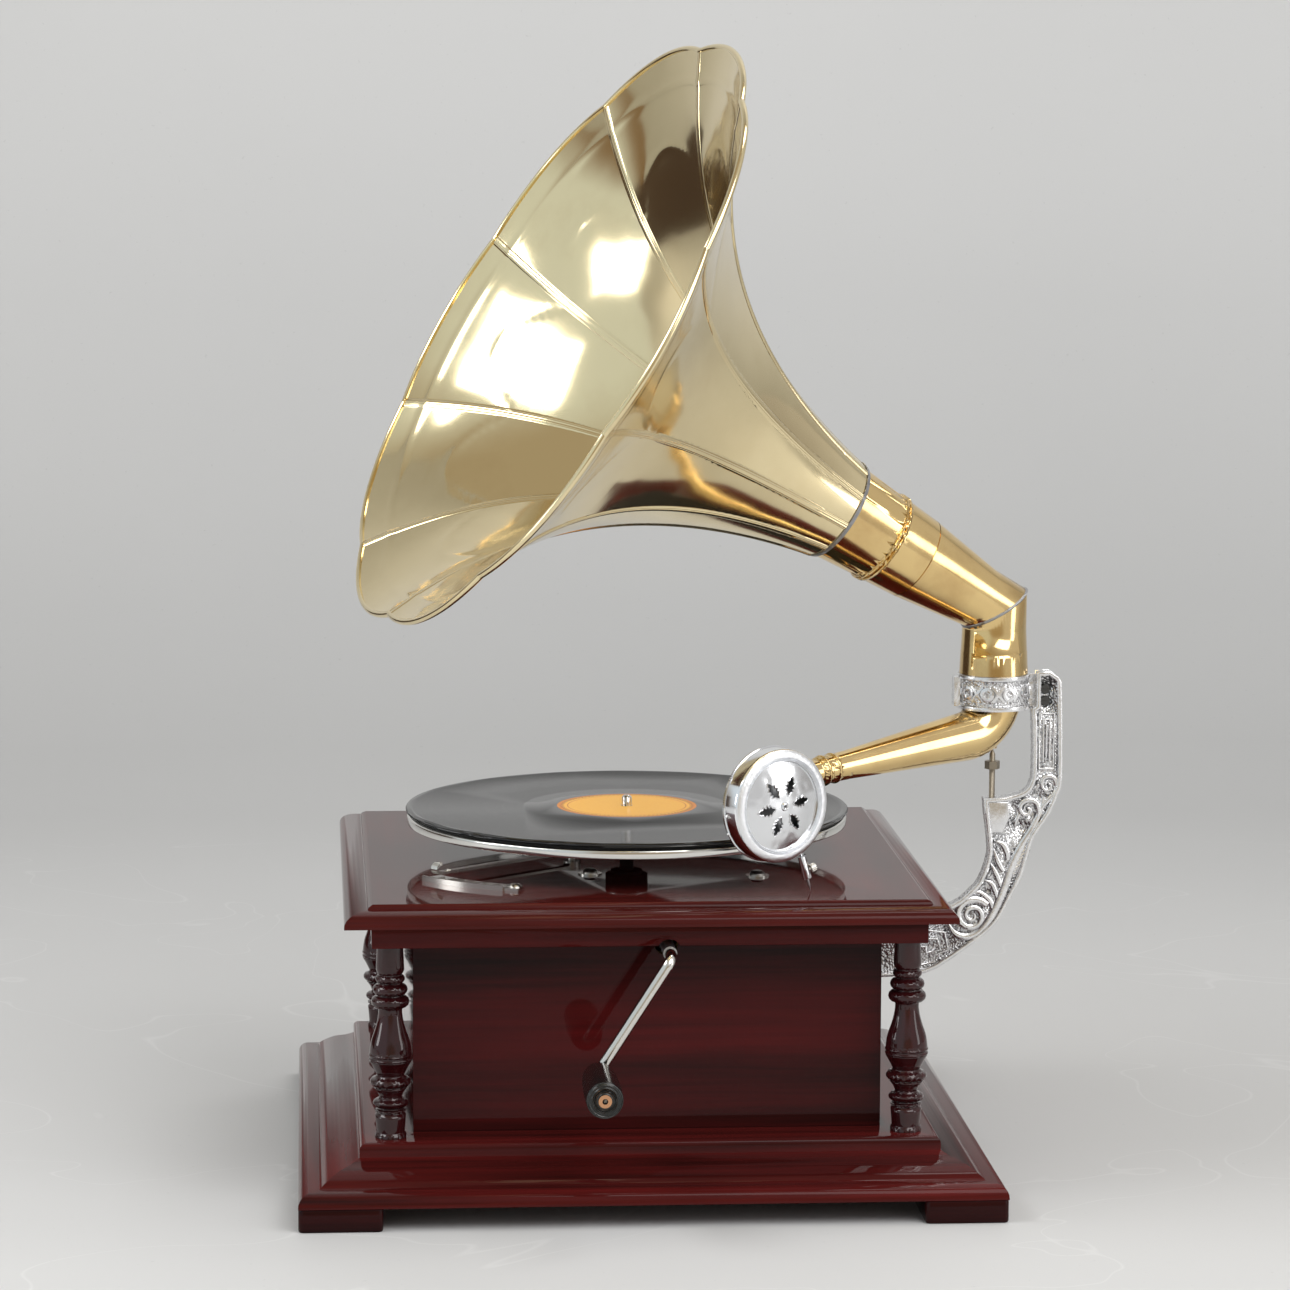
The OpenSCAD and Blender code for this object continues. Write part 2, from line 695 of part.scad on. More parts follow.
module collar_screws() {
    y0 = -bracket_t / 2;
    color(steel)
        for (z = lap_screw_z)
            translate([lap_screw_x, y0 + 1.6, z]) rotate([-90, 0, 0])
                difference() {
                    union() {
                        cylinder(h = bracket_t - 1, r = lap_screw_r);
                        translate([0, 0, -1]) cylinder(h = 1, r = lap_head_r);
                    }
                    translate([-lap_head_r - 1, -0.3, -1.5]) cube([2 * lap_head_r + 2, 0.6, 1]);
                }
}

module pivot_rod() {
    color(nickel)
        translate([collar_x, 0, 0]) {
            translate([0, 0, shelf_z - 15]) cylinder(h = cup_z - 3.3 - shelf_z + 15, r = pivot_rod_r);
            translate([0, 0, cup_z - 3.3]) cylinder(h = 2.7, r1 = pivot_rod_r, r2 = 0.3);
        }
}

module pivot_nut() {
    color(nickel)
        translate([collar_x, 0, shelf_z + 16.5])
            difference() {
                linear_extrude(nut_h) polygon(arc(0, 0, nut_w / 2, 0, 300, 5));
                translate([0, 0, -1]) cylinder(h = nut_h + 2, r = pivot_rod_r);
            }
}

// Frame of the elbow: the stub's axis is Z, and +X is the side that the horn leans to
module elbow_frame() {
    translate([collar_x, 0, elbow_z]) rotate([0, 0, 180 + horn_turn]) children();
}

// Frame of the horn: +Z runs from the mitre up the horn's axis
module horn_frame() {
    elbow_frame() rotate([0, 90 - horn_rise, 0]) children();
}

// Radius of the elbow's pipe at s: below 0 down the stub, above 0 up the horn's axis
function pipe_r(s) = s < -mitre_s
    ? mitre_r + (stub_r - mitre_r) * (s + mitre_s) / (stub_z - elbow_z + mitre_s)
    : s < mitre_s ? mitre_r
    : mitre_r + (socket_r - mitre_r) * (s - mitre_s) / (socket_s - mitre_s);

// A ring of radius r round the pipe at s, square to it, or parallel to the mitre when skew is 1
function elbow_ring(r, s, skew = 0, sides = 64) = let (lean = 90 - horn_rise)
    [for (i = [0:sides - 1]) let (
            x = r * cos(360 * i / sides),
            y = r * sin(360 * i / sides),
            z = skew * x * tan(lean / 2))
        s > 0 ? [x * cos(lean) + (s + z) * sin(lean), y, (s + z) * cos(lean) - x * sin(lean)]
        : [x, y, s - z]];

module horn_elbow() {
    wall = [foot_s, -mitre_s, 0, mitre_s, socket_s];
    color(brass) {
        // foot with the bore that turns on the collar's spigot
        translate([collar_x, 0, elbow_z])
            rotate_extrude() polygon([
                [spigot_r + run_fit, stub_z - elbow_z], [stub_r + 0.1, stub_z - elbow_z],
                [pipe_r(foot_s + 2) + 0.1, foot_s + 2], [pipe_r(foot_s + 2) - sheet_t - 0.1, foot_s + 2],
                [pipe_r(foot_s) - sheet_t - 0.1, foot_s - 0.7], [spigot_r + run_fit, foot_s - 0.7]]);
        // two pipes that meet at the mitre
        elbow_frame()
            skin(concat(
                [for (s = wall) elbow_ring(pipe_r(s), s, s == 0 ? 1 : 0)],
                [for (i = [len(wall) - 1:-1:0]) let (s = wall[i])
                    elbow_ring(pipe_r(s) - sheet_t, s, s == 0 ? 1 : 0)]));
    }
}

// Solder along the mitre and where the bell joins the neck
module elbow_solder() {
    color(solder) {
        elbow_frame()
            skin([for (q = [[0, -1], [0.45, -0.5], [0.6, 0], [0.45, 0.5], [0, 1], [0, 0]])
                elbow_ring(mitre_r + q[0], q[1], 1)]);
        horn_frame()
            translate([0, 0, neck_length - free_gap - 2.4])
                difference() {
                    cylinder(h = 2.4, r1 = throat_r - 0.2, r2 = throat_r + 0.7);
                    translate([0, 0, -1]) cylinder(h = 5, r = throat_r - sheet_t);
                }
    }
}

// Sleeve between elbow and bell: a spigot inside the elbow's socket, a cone and a rolled bead
module horn_neck() {
    s0 = socket_s - 8;
    s1 = socket_s + 0.6;
    s2 = neck_length;
    bead_s = neck_length - 33;
    end_r = throat_r - sheet_t;
    wide_r = socket_r + 0.1;
    bead_r = wide_r + (end_r - wide_r) * (bead_s - s1) / (s2 - s1);
    inside = sheet_t + 0.1;
    color(brass)
        horn_frame()
            rotate_extrude() polygon(concat(
                [[pipe_r(s0) - inside - sheet_t, s0], [pipe_r(s0) - inside, s0],
                 [socket_r - inside, socket_s], [socket_r - inside, s1],
                 [wide_r, s1], [bead_r - 0.2, bead_s - 3]],
                bead(bead_s - 2.4, bead_s, bead_r - 0.1, bead_r + 1.1, 4),
                bead(bead_s, bead_s + 2.4, bead_r, bead_r + 1.2, 4),
                [[end_r, s2], [end_r - sheet_t, s2], [bead_r - sheet_t, bead_s],
                 [socket_r - inside - sheet_t, socket_s]]));
}

// Radius of the bell at the share u of its length, from the throat (0) to the mouth (1)
function flare(u) = throat_r + (mouth_r - throat_r) * (flare_cone * u
    + (1 - flare_cone) * (exp(flare_growth * pow(u, flare_power)) - 1) / (exp(flare_growth) - 1));

// Swell of a petal between its seams, as a share of the radius; flat inside the bell, round at the rim
function swell(u) = -0.030 * sin(180 * min(u * 1.1, 1)) + (petal_swell / mouth_r) * pow(u, 7);

// Slope of the bell's wall against its axis at u
function flare_angle(u) = atan((flare(min(u + 0.01, 1)) - flare(max(u - 0.01, 0))) / (bell_length *
    (min(u + 0.01, 1) - max(u - 0.01, 0))));

// A point of the bell: share u of the length, line [share of a petal, mm past it, height of the fold],
// side of the wall 0 (outside) or 1 (inside), petal p
function bell_point(u, line, side, p) = let (
        pitch = 360 / petals,
        r0 = flare(u),
        turn = line[0] * pitch + line[1] / r0 * 180 / PI,
        bulge = 1 - pow(2 * turn / pitch - 1, 2),
        off = side > 0 ? -sheet_t - line[2] * 0.5 : line[2],
        r = r0 * (1 + swell(u) * bulge) + off * cos(flare_angle(u)),
        a = p * pitch + seam_phase + turn)
    [r * cos(a), r * sin(a), neck_length + bell_length * u - off * sin(flare_angle(u))];

// A point of the wire rolled into the rim, b degrees round it
function rim_point(b, line, p) = let (
        pitch = 360 / petals,
        turn = line[0] * pitch + line[1] / mouth_r * 180 / PI,
        bulge = 1 - pow(2 * turn / pitch - 1, 2),
        s = flare_angle(1),
        out = 0.6 + rim_r * sin(b),
        up = rim_r * cos(b) + sheet_t / 2,
        r = mouth_r * (1 + swell(1) * bulge) + out * sin(s) - up * cos(s),
        a = p * pitch + seam_phase + turn)
    [r * cos(a), r * sin(a), neck_length + bell_length + out * cos(s) + up * sin(s)];

// The bell: petals joined by folded seams that stand proud of both faces
module horn_bell() {
    half = seam_w / 2;
    lines = [[0, 0, seam_h], [0, 0.7 * half, seam_h], [0, 0.9 * half, 0], [0.24, 0, 0], [0.42, 0, 0],
        [0.58, 0, 0], [0.76, 0, 0], [1, -0.9 * half, 0], [1, -0.7 * half, seam_h]];
    k = bell_stations;
    color(brass)
        horn_frame()
            skin([for (p = [0:petals - 1], line = lines) concat(
                [for (i = [0:k]) bell_point(i / k, line, 1, p)],
                [for (i = [0:5]) rim_point(-25 + 46 * i, line, p)],
                [for (i = [k:-1:0]) bell_point(i / k, line, 0, p)])]);
}

// Local frame of the tonearm: the collar's axis is Z and +X runs out along the arm
module arm_frame() {
    translate([collar_x, 0, 0]) rotate([0, 0, 180 + arm_angle]) children();
}

// Height of the arm's axis at the distance x from the collar
function arm_z(x) = arm_z0 - tan(arm_slope) * x;

// Centre line of the arm from the bend to its end, as [x, z, radius, slope of the section's normal]
function arm_line() = let (
        turn = 90 - arm_slope,
        nb = 9,
        ns = 8,
        x1 = arm_bend_r * (1 - cos(turn)))
    concat(
        [[0, arm_bend_top + 3, arm_r_top - 0.2, 0]],
        [for (i = [0:nb]) let (a = turn * i / nb)
            [arm_bend_r * (1 - cos(a)), arm_bend_top - arm_bend_r * sin(a),
             arm_r_top - 0.2 + (arm_r_mid - arm_r_top + 0.2) * sin(90 * i / nb), a]],
        [for (i = [1:ns]) let (t = i / ns, x = x1 + (ring_x - 12 - x1) * t)
            [x, arm_z(x), arm_r_mid + (arm_r_end - arm_r_mid) * t, turn]]);

// Ring of radius r square to the arm's line at its point q
function arm_ring(q, r, sides = 28) = [for (k = [0:sides - 1]) let (a = 360 * k / sides)
    [q[0] + r * cos(a) * cos(q[3]), r * sin(a), q[1] + r * cos(a) * sin(q[3])]];

// Tube wall swept along the arm's line
module arm_sweep() {
    line = arm_line();
    skin(concat(
        [for (i = [len(line) - 1:-1:0]) arm_ring(line[i], line[i][2])],
        [for (q = line) arm_ring(q, q[2] - sheet_t + 0.1)]));
}

module tonearm() {
    color(brass)
        arm_frame() {
            arm_sweep();
            translate([0, 0, arm_bend_top])
                difference() {
                    translate([0, 0, -0.02])
                        cylinder(h = collar_top + spigot_h - 1 - arm_bend_top, r = arm_r_top);
                    translate([0, 0, -1])
                        cylinder(h = collar_top + 12 - arm_bend_top, r = arm_r_top - sheet_t);
                }
            // cup for the point of the pivot rod
            translate([0, 0, cup_z]) cylinder(h = 3.4, r = 2.6, $fn = 32);
            arm_end_frame()
                rotate_extrude() polygon(concat(
                    [[goose_r + run_fit, -13], [arm_r_end + 0.2, -13], [arm_r_end, -5.5]],
                    bead(-5.5, -3, arm_r_end, arm_r_end + 0.8, 4),
                    [[arm_r_end, 0], [goose_r + run_fit, 0]]));
        }
}

// Frame at the joint between tonearm and gooseneck, +Z along the arm
module arm_end_frame() {
    translate([ring_x, 0, arm_z(ring_x)]) rotate([0, 90 + arm_slope, 0]) children();
}

// Gooseneck: a straight tube from the joint, a quarter bend and a straight leg into the soundbox
module gooseneck() {
    bend = 15;
    run = (arm_reach - ring_x) / cos(arm_slope) - bend;
    color(brass)
        arm_frame()
            arm_end_frame() {
                rotate_extrude() polygon(concat(
                    [[goose_r - sheet_t, -10], [goose_r, -10], [goose_r, free_gap], [arm_r_end, free_gap]],
                    bead(free_gap + 1.2, free_gap + 3.7, arm_r_end, arm_r_end + 0.8, 4),
                    [[arm_r_end, free_gap + 5.4], [goose_r, free_gap + 6.4], [goose_r, run],
                     [goose_r - sheet_t, run]]));
                translate([0, bend, run]) rotate([0, -90, 0]) rotate([0, 0, -90])
                    rotate_extrude(angle = 90) translate([bend, 0])
                        difference() {
                            circle(r = goose_r);
                            circle(r = goose_r - sheet_t);
                        }
                translate([0, bend, run + bend]) rotate([-90, 0, 0])
                    difference() {
                        cylinder(h = goose_offset - soundbox_t / 2 - 2.5 - bend, r = goose_r);
                        translate([0, 0, -1]) cylinder(h = goose_offset, r = goose_r - sheet_t);
                    }
            }
}

// Local frame of the soundbox: +Z is its face, +Y is up, +X points back to the collar
module soundbox_frame() {
    arm_frame()
        translate([arm_reach, goose_offset, arm_z(arm_reach)])
            rotate([0, 0, 180])
                rotate([90, 0, 0])
                    children();
}

module soundbox_back() {
    r = soundbox_d / 2;
    back = -soundbox_t / 2;
    color(chrome)
        soundbox_frame()
            rotate_extrude() polygon([
                    [goose_r + 0.03, back - 11], [goose_r + 1.8, back - 11], [goose_r + 1.8, back - 2.5],
                    [goose_r + 3.5, back], [r - 0.6, back], [r + 0.3, back + 0.5], [r + 0.3, back + 1.8],
                    [r - 1, back + 2], [r - 5.2, back + 2], [r - 5.2, -2], [r - 7.2, -2],
                    [r - 7.2, back + 2], [goose_r - 1.4, back + 2], [goose_r - 1.4, back - 2.4],
                    [goose_r + 0.03, back - 2.4]]);
}

module soundbox_shell() {
    r = soundbox_d / 2;
    back = -soundbox_t / 2 + 2;
    front = soundbox_t / 2;
    color(chrome)
        soundbox_frame()
            difference() {
                rotate_extrude() polygon(concat(
                    [[r - 5, back], [r - 0.4, back], [r - 0.4, front - 3]],
                    arc(r - 2.4, front - 2, 2, 0, 90, 5),
                    [[r - 6, front], [r - 7, front - 1.2], [r - 7, 2.8], [r - 5, 2.8]]));
                // slot for the needle bar
                rotate([0, 0, bar_angle]) translate([r - 9, -3.4, -3]) cube([12, 6.8, 7.2]);
            }
}

// Two rubber rings that hold the rim of the diaphragm
module gaskets() {
    r = soundbox_d / 2 - 5.05;
    color(rubber)
        soundbox_frame()
            for (z = [-2, 0.6])
                translate([0, 0, z])
                    difference() {
                        cylinder(h = z < 0 ? 2.1 : 2.2, r = r);
                        translate([0, 0, -1]) cylinder(h = 4, r = r - 2.2);
                    }
}

module diaphragm() {
    color(aluminium)
        soundbox_frame()
            translate([0, 0, 0.1]) cylinder(h = 0.5, r = soundbox_d / 2 - 5.2);
}

// One leaf-shaped opening of the grille, pointing along +X
function leaf() = let (half = [[6.0, 0], [7.2, 0.9], [8.2, 1.0], [9.3, 2.3], [10.2, 1.5], [11.4, 2.5],
        [12.4, 1.4], [13.6, 1.7], [15.6, 0]])
    concat(half, [for (i = [len(half) - 2:-1:1]) [half[i][0], -half[i][1]]]);

module soundbox_grille() {
    r = soundbox_d / 2 - 7;
    front = soundbox_t / 2;
    dome = (r * r + 9) / 6;
    color(chrome)
        soundbox_frame() {
            difference() {
                intersection() {
                    translate([0, 0, front + 1 - dome]) difference() {
                        sphere(r = dome, $fn = 96);
                        sphere(r = dome - 0.8, $fn = 96);
                    }
                    translate([0, 0, front - 2.2]) cylinder(h = 9, r = r - 0.1);
                }
                for (i = [0:grille_leaves - 1]) rotate([0, 0, 360 / grille_leaves * i + 12])
                    linear_extrude(20) polygon(leaf());
            }
            translate([0, 0, front - 0.4]) difference() {
                cylinder(h = 2.4, r = 2.1, $fn = 32);
                translate([0, 0, 1.6]) cylinder(h = 2, r = 0.8, $fn = 24);
            }
        }
}

// Lever that carries the needle: a tube below the rim, and a bar up to the diaphragm's centre
module needle_holder() {
    inner = norm([bar_x, bar_y]);
    color(chrome)
        soundbox_frame() {
            translate([holder_x, holder_y, 0]) rotate([0, 0, holder_turn]) {
                difference() {
                    rotate([90, 0, 0]) cylinder(h = holder_length, r = holder_r, $fn = 32);
                    rotate([90, 0, 0]) translate([0, 0, holder_length - 9]) cylinder(h = 10, r = needle_r);
                    translate([0, -holder_length + 4, 0]) rotate([0, 90, 0])
                        cylinder(h = 5, r = 1.0, $fn = 24);
                }
                translate([-0.9, -0.5, -0.9]) cube([1.8, 6.5, 1.8]);
            }
            translate([bar_x, bar_y, -0.9]) cylinder(h = 4.7, r = 1.3, $fn = 24);
            rotate([0, 0, bar_angle]) translate([0, -0.9, 2.9]) cube([inner, 1.8, 0.9]);
            translate([0, 0, 0.65]) cylinder(h = 3.15, r = 1.2, $fn = 24);
        }
}

module needle() {
    color(steel)
        soundbox_frame()
            translate([holder_x, holder_y, 0]) rotate([0, 0, holder_turn]) rotate([90, 0, 0]) {
                translate([0, 0, holder_length - 8.5])
                    cylinder(h = needle_end - holder_length + 8.5 - 4, r = needle_r);
                translate([0, 0, needle_end - 4]) cylinder(h = 4, r1 = needle_r, r2 = 0.15);
            }
}

module needle_screw() {
    color(nickel)
        soundbox_frame()
            translate([holder_x, holder_y, 0]) rotate([0, 0, holder_turn])
                translate([0, -holder_length + 4, 0]) rotate([0, 90, 0]) {
                    translate([0, 0, needle_r + 0.1])
                        cylinder(h = 5 - needle_r, r = 1.0 - run_fit, $fn = 24);
                    translate([0, 0, 3.4]) difference() {
                        cylinder(h = 3, r = 2.3, $fn = 32);
                        for (i = [0:11]) rotate([0, 0, 30 * i])
                            translate([2.4, 0, -1]) cylinder(h = 5, r = 0.3, $fn = 12);
                    }
                }
}

// Outline of a spur gear with straight-sided teeth, the first tooth at +X
function gear_outline(teeth, root, tip, root_half, tip_half) = [
    for (i = [0:teeth - 1])
        let (a = 360 * i / teeth, b = root_half / root * 180 / PI, c = tip_half / tip * 180 / PI)
        each [[root * cos(a - b), root * sin(a - b)], [tip * cos(a - c), tip * sin(a - c)],
              [tip * cos(a + c), tip * sin(a + c)], [root * cos(a + b), root * sin(a + b)]]];

module spur_gear(teeth, height) {
    pitch_r = teeth * drive_module / 2;
    linear_extrude(height)
        polygon(gear_outline(teeth, pitch_r - 1.3 * drive_module, pitch_r + 0.8 * drive_module,
            0.78 * drive_module, 0.38 * drive_module));
}

module platter() {
    color(aluminium)
        translate([spindle_x, 0, 0])
            rotate_extrude($fn = 128) polygon([
                [spindle_d / 2, platter_z - hub_drop], [hub_r, platter_z - hub_drop],
                [hub_r, mat_z - sheet_steel], [platter_r - sheet_steel, mat_z - sheet_steel],
                [platter_r - sheet_steel, platter_z], [platter_r, platter_z],
                [platter_r, mat_z - 1], [platter_r - 1, mat_z], [spindle_d / 2, mat_z]]);
}

module felt_mat() {
    color(rubber)
        translate([spindle_x, 0, mat_z])
            difference() {
                cylinder(h = mat_t, r = platter_r - 2.2, $fn = 128);
                translate([0, 0, -1]) cylinder(h = mat_t + 2, r = spindle_d / 2 + free_gap);
            }
}

module record() {
    hole_r = spindle_d / 2 + 0.1;
    rim = record_d / 2;
    color(black)
        translate([spindle_x, 0, 0])
            rotate_extrude($fn = 128) polygon([
                [hole_r, record_z], [rim - 0.6, record_z], [rim, record_z + 0.6],
                [rim, record_top - 0.6], [rim - 0.6, record_top], [rim - 3, record_top],
                [rim - 3.6, record_top - groove_depth], [dead_wax_r, record_top - groove_depth],
                [dead_wax_r - 0.4, record_top], [label_d / 2, record_top],
                [label_d / 2, record_top - label_t], [hole_r, record_top - label_t]]);
}

module record_label() {
    color([0.80, 0.36, 0.12])
        translate([spindle_x, 0, record_top - label_t])
            difference() {
                cylinder(h = label_t, r = label_d / 2, $fn = 96);
                translate([0, 0, -1]) cylinder(h = label_t + 2, r = spindle_d / 2 + 0.1);
            }
}

module spindle() {
    r = spindle_d / 2;
    tip_r = r - 0.4;
    color(steel)
        translate([spindle_x, 0, 0]) {
            rotate_extrude() polygon([
                [0, low_plate_z + 0.3], [pivot_r, low_plate_z + 0.3],
                [pivot_r, low_plate_z + plate_t + free_gap],
                [shaft_r, low_plate_z + plate_t + free_gap], [shaft_r, lid_top + boss_rise],
                [hub_r - 3, lid_top + boss_rise], [hub_r - 3, platter_z - hub_drop],
                [r, platter_z - hub_drop],
                [r, record_top + free_gap], [tip_r, record_top + free_gap],
                [tip_r, spindle_top - 1.2], [tip_r - 1, spindle_top], [0, spindle_top]]);
            translate([0, 0, great_z - 3])
                rotate([0, 0, barrel_bearing + 180 + 180 / pinion_teeth])
                    spur_gear(pinion_teeth, great_t + 7);
            translate([0, 0, worm_z - 2])
                rotate([0, 0, 180 + 180 / worm_teeth])
                    linear_extrude(4)
                        polygon(gear_outline(worm_teeth, worm_wheel_r - 1.2 * drive_module,
                            worm_wheel_r + 0.6 * drive_module, 0.7 * drive_module, 0.36 * drive_module));
        }
}

module barrel_axis() {
    translate([crank_x, barrel_y, 0]) children();
}

module spring_barrel() {
    color(brass)
        barrel_axis()
            rotate_extrude() polygon([
                [arbor_r + run_fit, barrel_z], [drum_r, barrel_z], [drum_r, great_z],
                [drum_r - 1.5, great_z], [drum_r - 1.5, barrel_z + 2], [arbor_r + run_fit, barrel_z + 2]]);
}

module great_wheel() {
    color(brass)
        barrel_axis()
            translate([0, 0, great_z])
                difference() {
                    rotate([0, 0, barrel_bearing]) spur_gear(great_teeth, great_t);
                    translate([0, 0, -1]) cylinder(h = great_t + 2, r = arbor_r + run_fit);
                }
}

// Coiled spring strip inside the barrel
module mainspring() {
    turns = 6;
    steps = 96;
    r0 = arbor_r + 3;
    r1 = drum_r - 2.2;
    function at(i, off) = let (a = 360 * turns * i / steps, r = r0 + (r1 - r0) * i / steps + off)
        [r * cos(a), r * sin(a)];
    color(steel)
        barrel_axis()
            translate([0, 0, barrel_z + 2.4])
                linear_extrude(great_z - barrel_z - 2.8)
                    polygon(concat([for (i = [0:steps]) at(i, 0)], [for (i = [steps:-1:0]) at(i, 0.6)]));
}

module barrel_arbor() {
    color(steel)
        barrel_axis()
            rotate_extrude() polygon([
                [0, low_plate_z + 0.3], [pivot_r, low_plate_z + 0.3],
                [pivot_r, low_plate_z + plate_t + free_gap],
                [arbor_r, low_plate_z + plate_t + free_gap], [arbor_r, crown_z + 3], [pivot_r, crown_z + 3],
                [pivot_r, top_plate_z + plate_t - 0.3], [0, top_plate_z + plate_t - 0.3]]);
}

// Crown wheel: a disc with teeth standing on its upper face
module crown_wheel() {
    pitch = 2 * PI * crown_r / crown_teeth;
    color(brass)
        barrel_axis()
            difference() {
                union() {
                    translate([0, 0, crown_z - 2.8]) cylinder(h = 2.8, r = crown_r + 2.5);
                    for (i = [0:crown_teeth - 1]) rotate([0, 0, 360 * i / crown_teeth - 90])
                        translate([crown_r - 2.5, -0.18 * pitch, crown_z - 0.5])
                            cube([5, 0.36 * pitch, 2.9]);
                }
                translate([0, 0, crown_z - 4]) cylinder(h = 8, r = arbor_r);
            }
}

// Local frame of the crank: +Z points out of the case along the shaft
module crank_frame() {
    translate([crank_x, 0, crank_z]) rotate([90, 0, 0]) children();
}

module winding_shaft() {
    pinion_r = crown_r * wind_pinion_teeth / crown_teeth;
    inner = -barrel_y + crown_r - 2.5;
    color(steel)
        crank_frame() {
            difference() {
                translate([0, 0, inner]) cylinder(h = shaft_out - inner, r = wind_shaft_r);
                translate([0, 0, shaft_out - 15]) cylinder(h = 16, r = crank_rod_r - 0.5);
            }
            translate([0, 0, inner])
                rotate([0, 0, -90 + 180 / wind_pinion_teeth])
                    linear_extrude(5)
                        polygon(gear_outline(wind_pinion_teeth, pinion_r - 1.25, pinion_r + 1, 0.8, 0.38));
        }
}

// The crank's frame turned so that +X runs along its arm
module crank_arm_frame() {
    crank_frame() rotate([0, 0, -90 - crank_angle]) children();
}

module crank_rod() {
    b = crank_bend;
    pin_z = crank_plane + b;
    pin_h = grip_z + grip_length - pin_z + 1;
    color(nickel)
        crank_arm_frame() {
            translate([0, 0, shaft_out - 14]) cylinder(h = 14.5, r = crank_rod_r - 0.55);
            translate([0, 0, shaft_out]) cylinder(h = crank_plane - b - shaft_out, r = crank_rod_r);
            translate([b, 0, crank_plane - b]) rotate([90, 0, 180])
                rotate_extrude(angle = 90) translate([b, 0]) circle(r = crank_rod_r);
            translate([b, 0, crank_plane]) rotate([0, 90, 0])
                cylinder(h = crank_throw - 2 * b, r = crank_rod_r);
            translate([crank_throw - b, 0, pin_z]) rotate([90, 90, 0])
                rotate_extrude(angle = 90) translate([b, 0]) circle(r = crank_rod_r);
            translate([crank_throw, 0, pin_z]) difference() {
                union() {
                    cylinder(h = 2.2, r = crank_rod_r);
                    cylinder(h = pin_h, r = grip_pin_r);
                    translate([0, 0, pin_h - 1 + free_gap]) cylinder(h = 0.9, r = grip_pin_r + 1.2);
                }
                translate([0, 0, pin_h - 4]) cylinder(h = 6, r = 1.1);
            }
        }
}

module crank_grip() {
    color(black)
        crank_arm_frame()
            translate([crank_throw, 0, grip_z])
                    rotate_extrude() polygon(concat(
                        [[grip_pin_r + run_fit, 0], [grip_r - 2.6, 0], [grip_r - 1.6, 0.8]],
                        curve([[grip_r - 1.2, 3], [grip_r - 0.5, 0.30 * grip_length],
                            [grip_r, 0.70 * grip_length], [grip_r - 0.3, grip_length - 3]], 3),
                        arc(grip_r - 2.3, grip_length - 2, 2, 0, 90, 4),
                        [[grip_r - 4, grip_length], [grip_r - 4.4, grip_length - 0.6],
                         [grip_r - 4.8, grip_length], [grip_pin_r + run_fit, grip_length]]));
}

module motor_plate(z, spindle_bore) {
    difference() {
        translate([crank_x - 54.7, -88, z]) cube([126, 163, plate_t]);
        translate([spindle_x, 0, z - 1]) cylinder(h = plate_t + 2, r = spindle_bore + run_fit);
        barrel_axis() translate([0, 0, z - 1]) cylinder(h = plate_t + 2, r = pivot_r + run_fit);
        if (z > barrel_z) {
            translate([lever_x, lever_y, z - 1]) cylinder(h = plate_t + 2, r = lever_shaft_r + run_fit);
            for (p = motor_screw_at)
                translate([p[0], p[1], z - 1]) cylinder(h = plate_t + 2, r = motor_screw_r);
        }
    }
}

module motor_plates() {
    color(steel) {
        motor_plate(top_plate_z, shaft_r);
        motor_plate(low_plate_z, pivot_r);
    }
}

module motor_pillars() {
    color(steel)
        for (p = pillar_at)
            translate([p[0], p[1], low_plate_z + plate_t])
                cylinder(h = top_plate_z - low_plate_z - plate_t, r = pillar_r);
}

// Bearing blocks that hang from the upper plate: one for the winding shaft, two for the governor
module shaft_bearings() {
    color(brass) {
        difference() {
            translate([crank_x - 7, -88, crank_z - 9.5]) cube([14, 8, top_plate_z - crank_z + 9.5]);
            crank_frame() translate([0, 0, 78]) cylinder(h = 14, r = wind_shaft_r + run_fit);
        }
        for (y = governor_ends)
            difference() {
                translate([governor_x - 4, y - 2, worm_z - 4]) cube([8, 4, top_plate_z - worm_z + 4]);
                translate([governor_x, y - 3, worm_z]) rotate([-90, 0, 0])
                    cylinder(h = 6, r = governor_shaft_r + run_fit);
            }
    }
}

module motor_screws() {
    color(brass)
        for (p = motor_screw_at)
            translate([p[0], p[1], 0])
                difference() {
                    union() {
                        translate([0, 0, top_plate_z - 2.5])
                            cylinder(h = lid_top + 1 - top_plate_z + 2.5, r = motor_screw_r);
                        translate([0, 0, lid_top + washer_t]) cylinder(h = 1, r = 4);
                        translate([0, 0, lid_top + washer_t + 1]) cylinder(h = 1.2, r1 = 4, r2 = 2.8);
                    }
                    translate([-5, -0.5, lid_top + washer_t + 1.2]) cube([10, 1, 2]);
                }
}

module screw_washers() {
    color(brass)
        for (p = motor_screw_at)
            translate([p[0], p[1], lid_top])
                difference() {
                    cylinder(h = washer_t, r = 6.5);
                    translate([0, 0, -1]) cylinder(h = 3, r = motor_screw_r + 0.1);
                }
}

module rubber_spacers() {
    color(rubber)
        for (p = motor_screw_at)
            translate([p[0], p[1], top_plate_z + plate_t])
                difference() {
                    cylinder(h = lid_z - top_plate_z - plate_t, r = 6);
                    translate([0, 0, -1]) cylinder(h = lid_z - top_plate_z, r = motor_screw_r + free_gap);
                }
}

// Local frame of the governor: +Z runs along the shaft, away from the crank's side
module governor_frame() {
    translate([governor_x, 0, worm_z]) rotate([-90, 0, 0]) children();
}

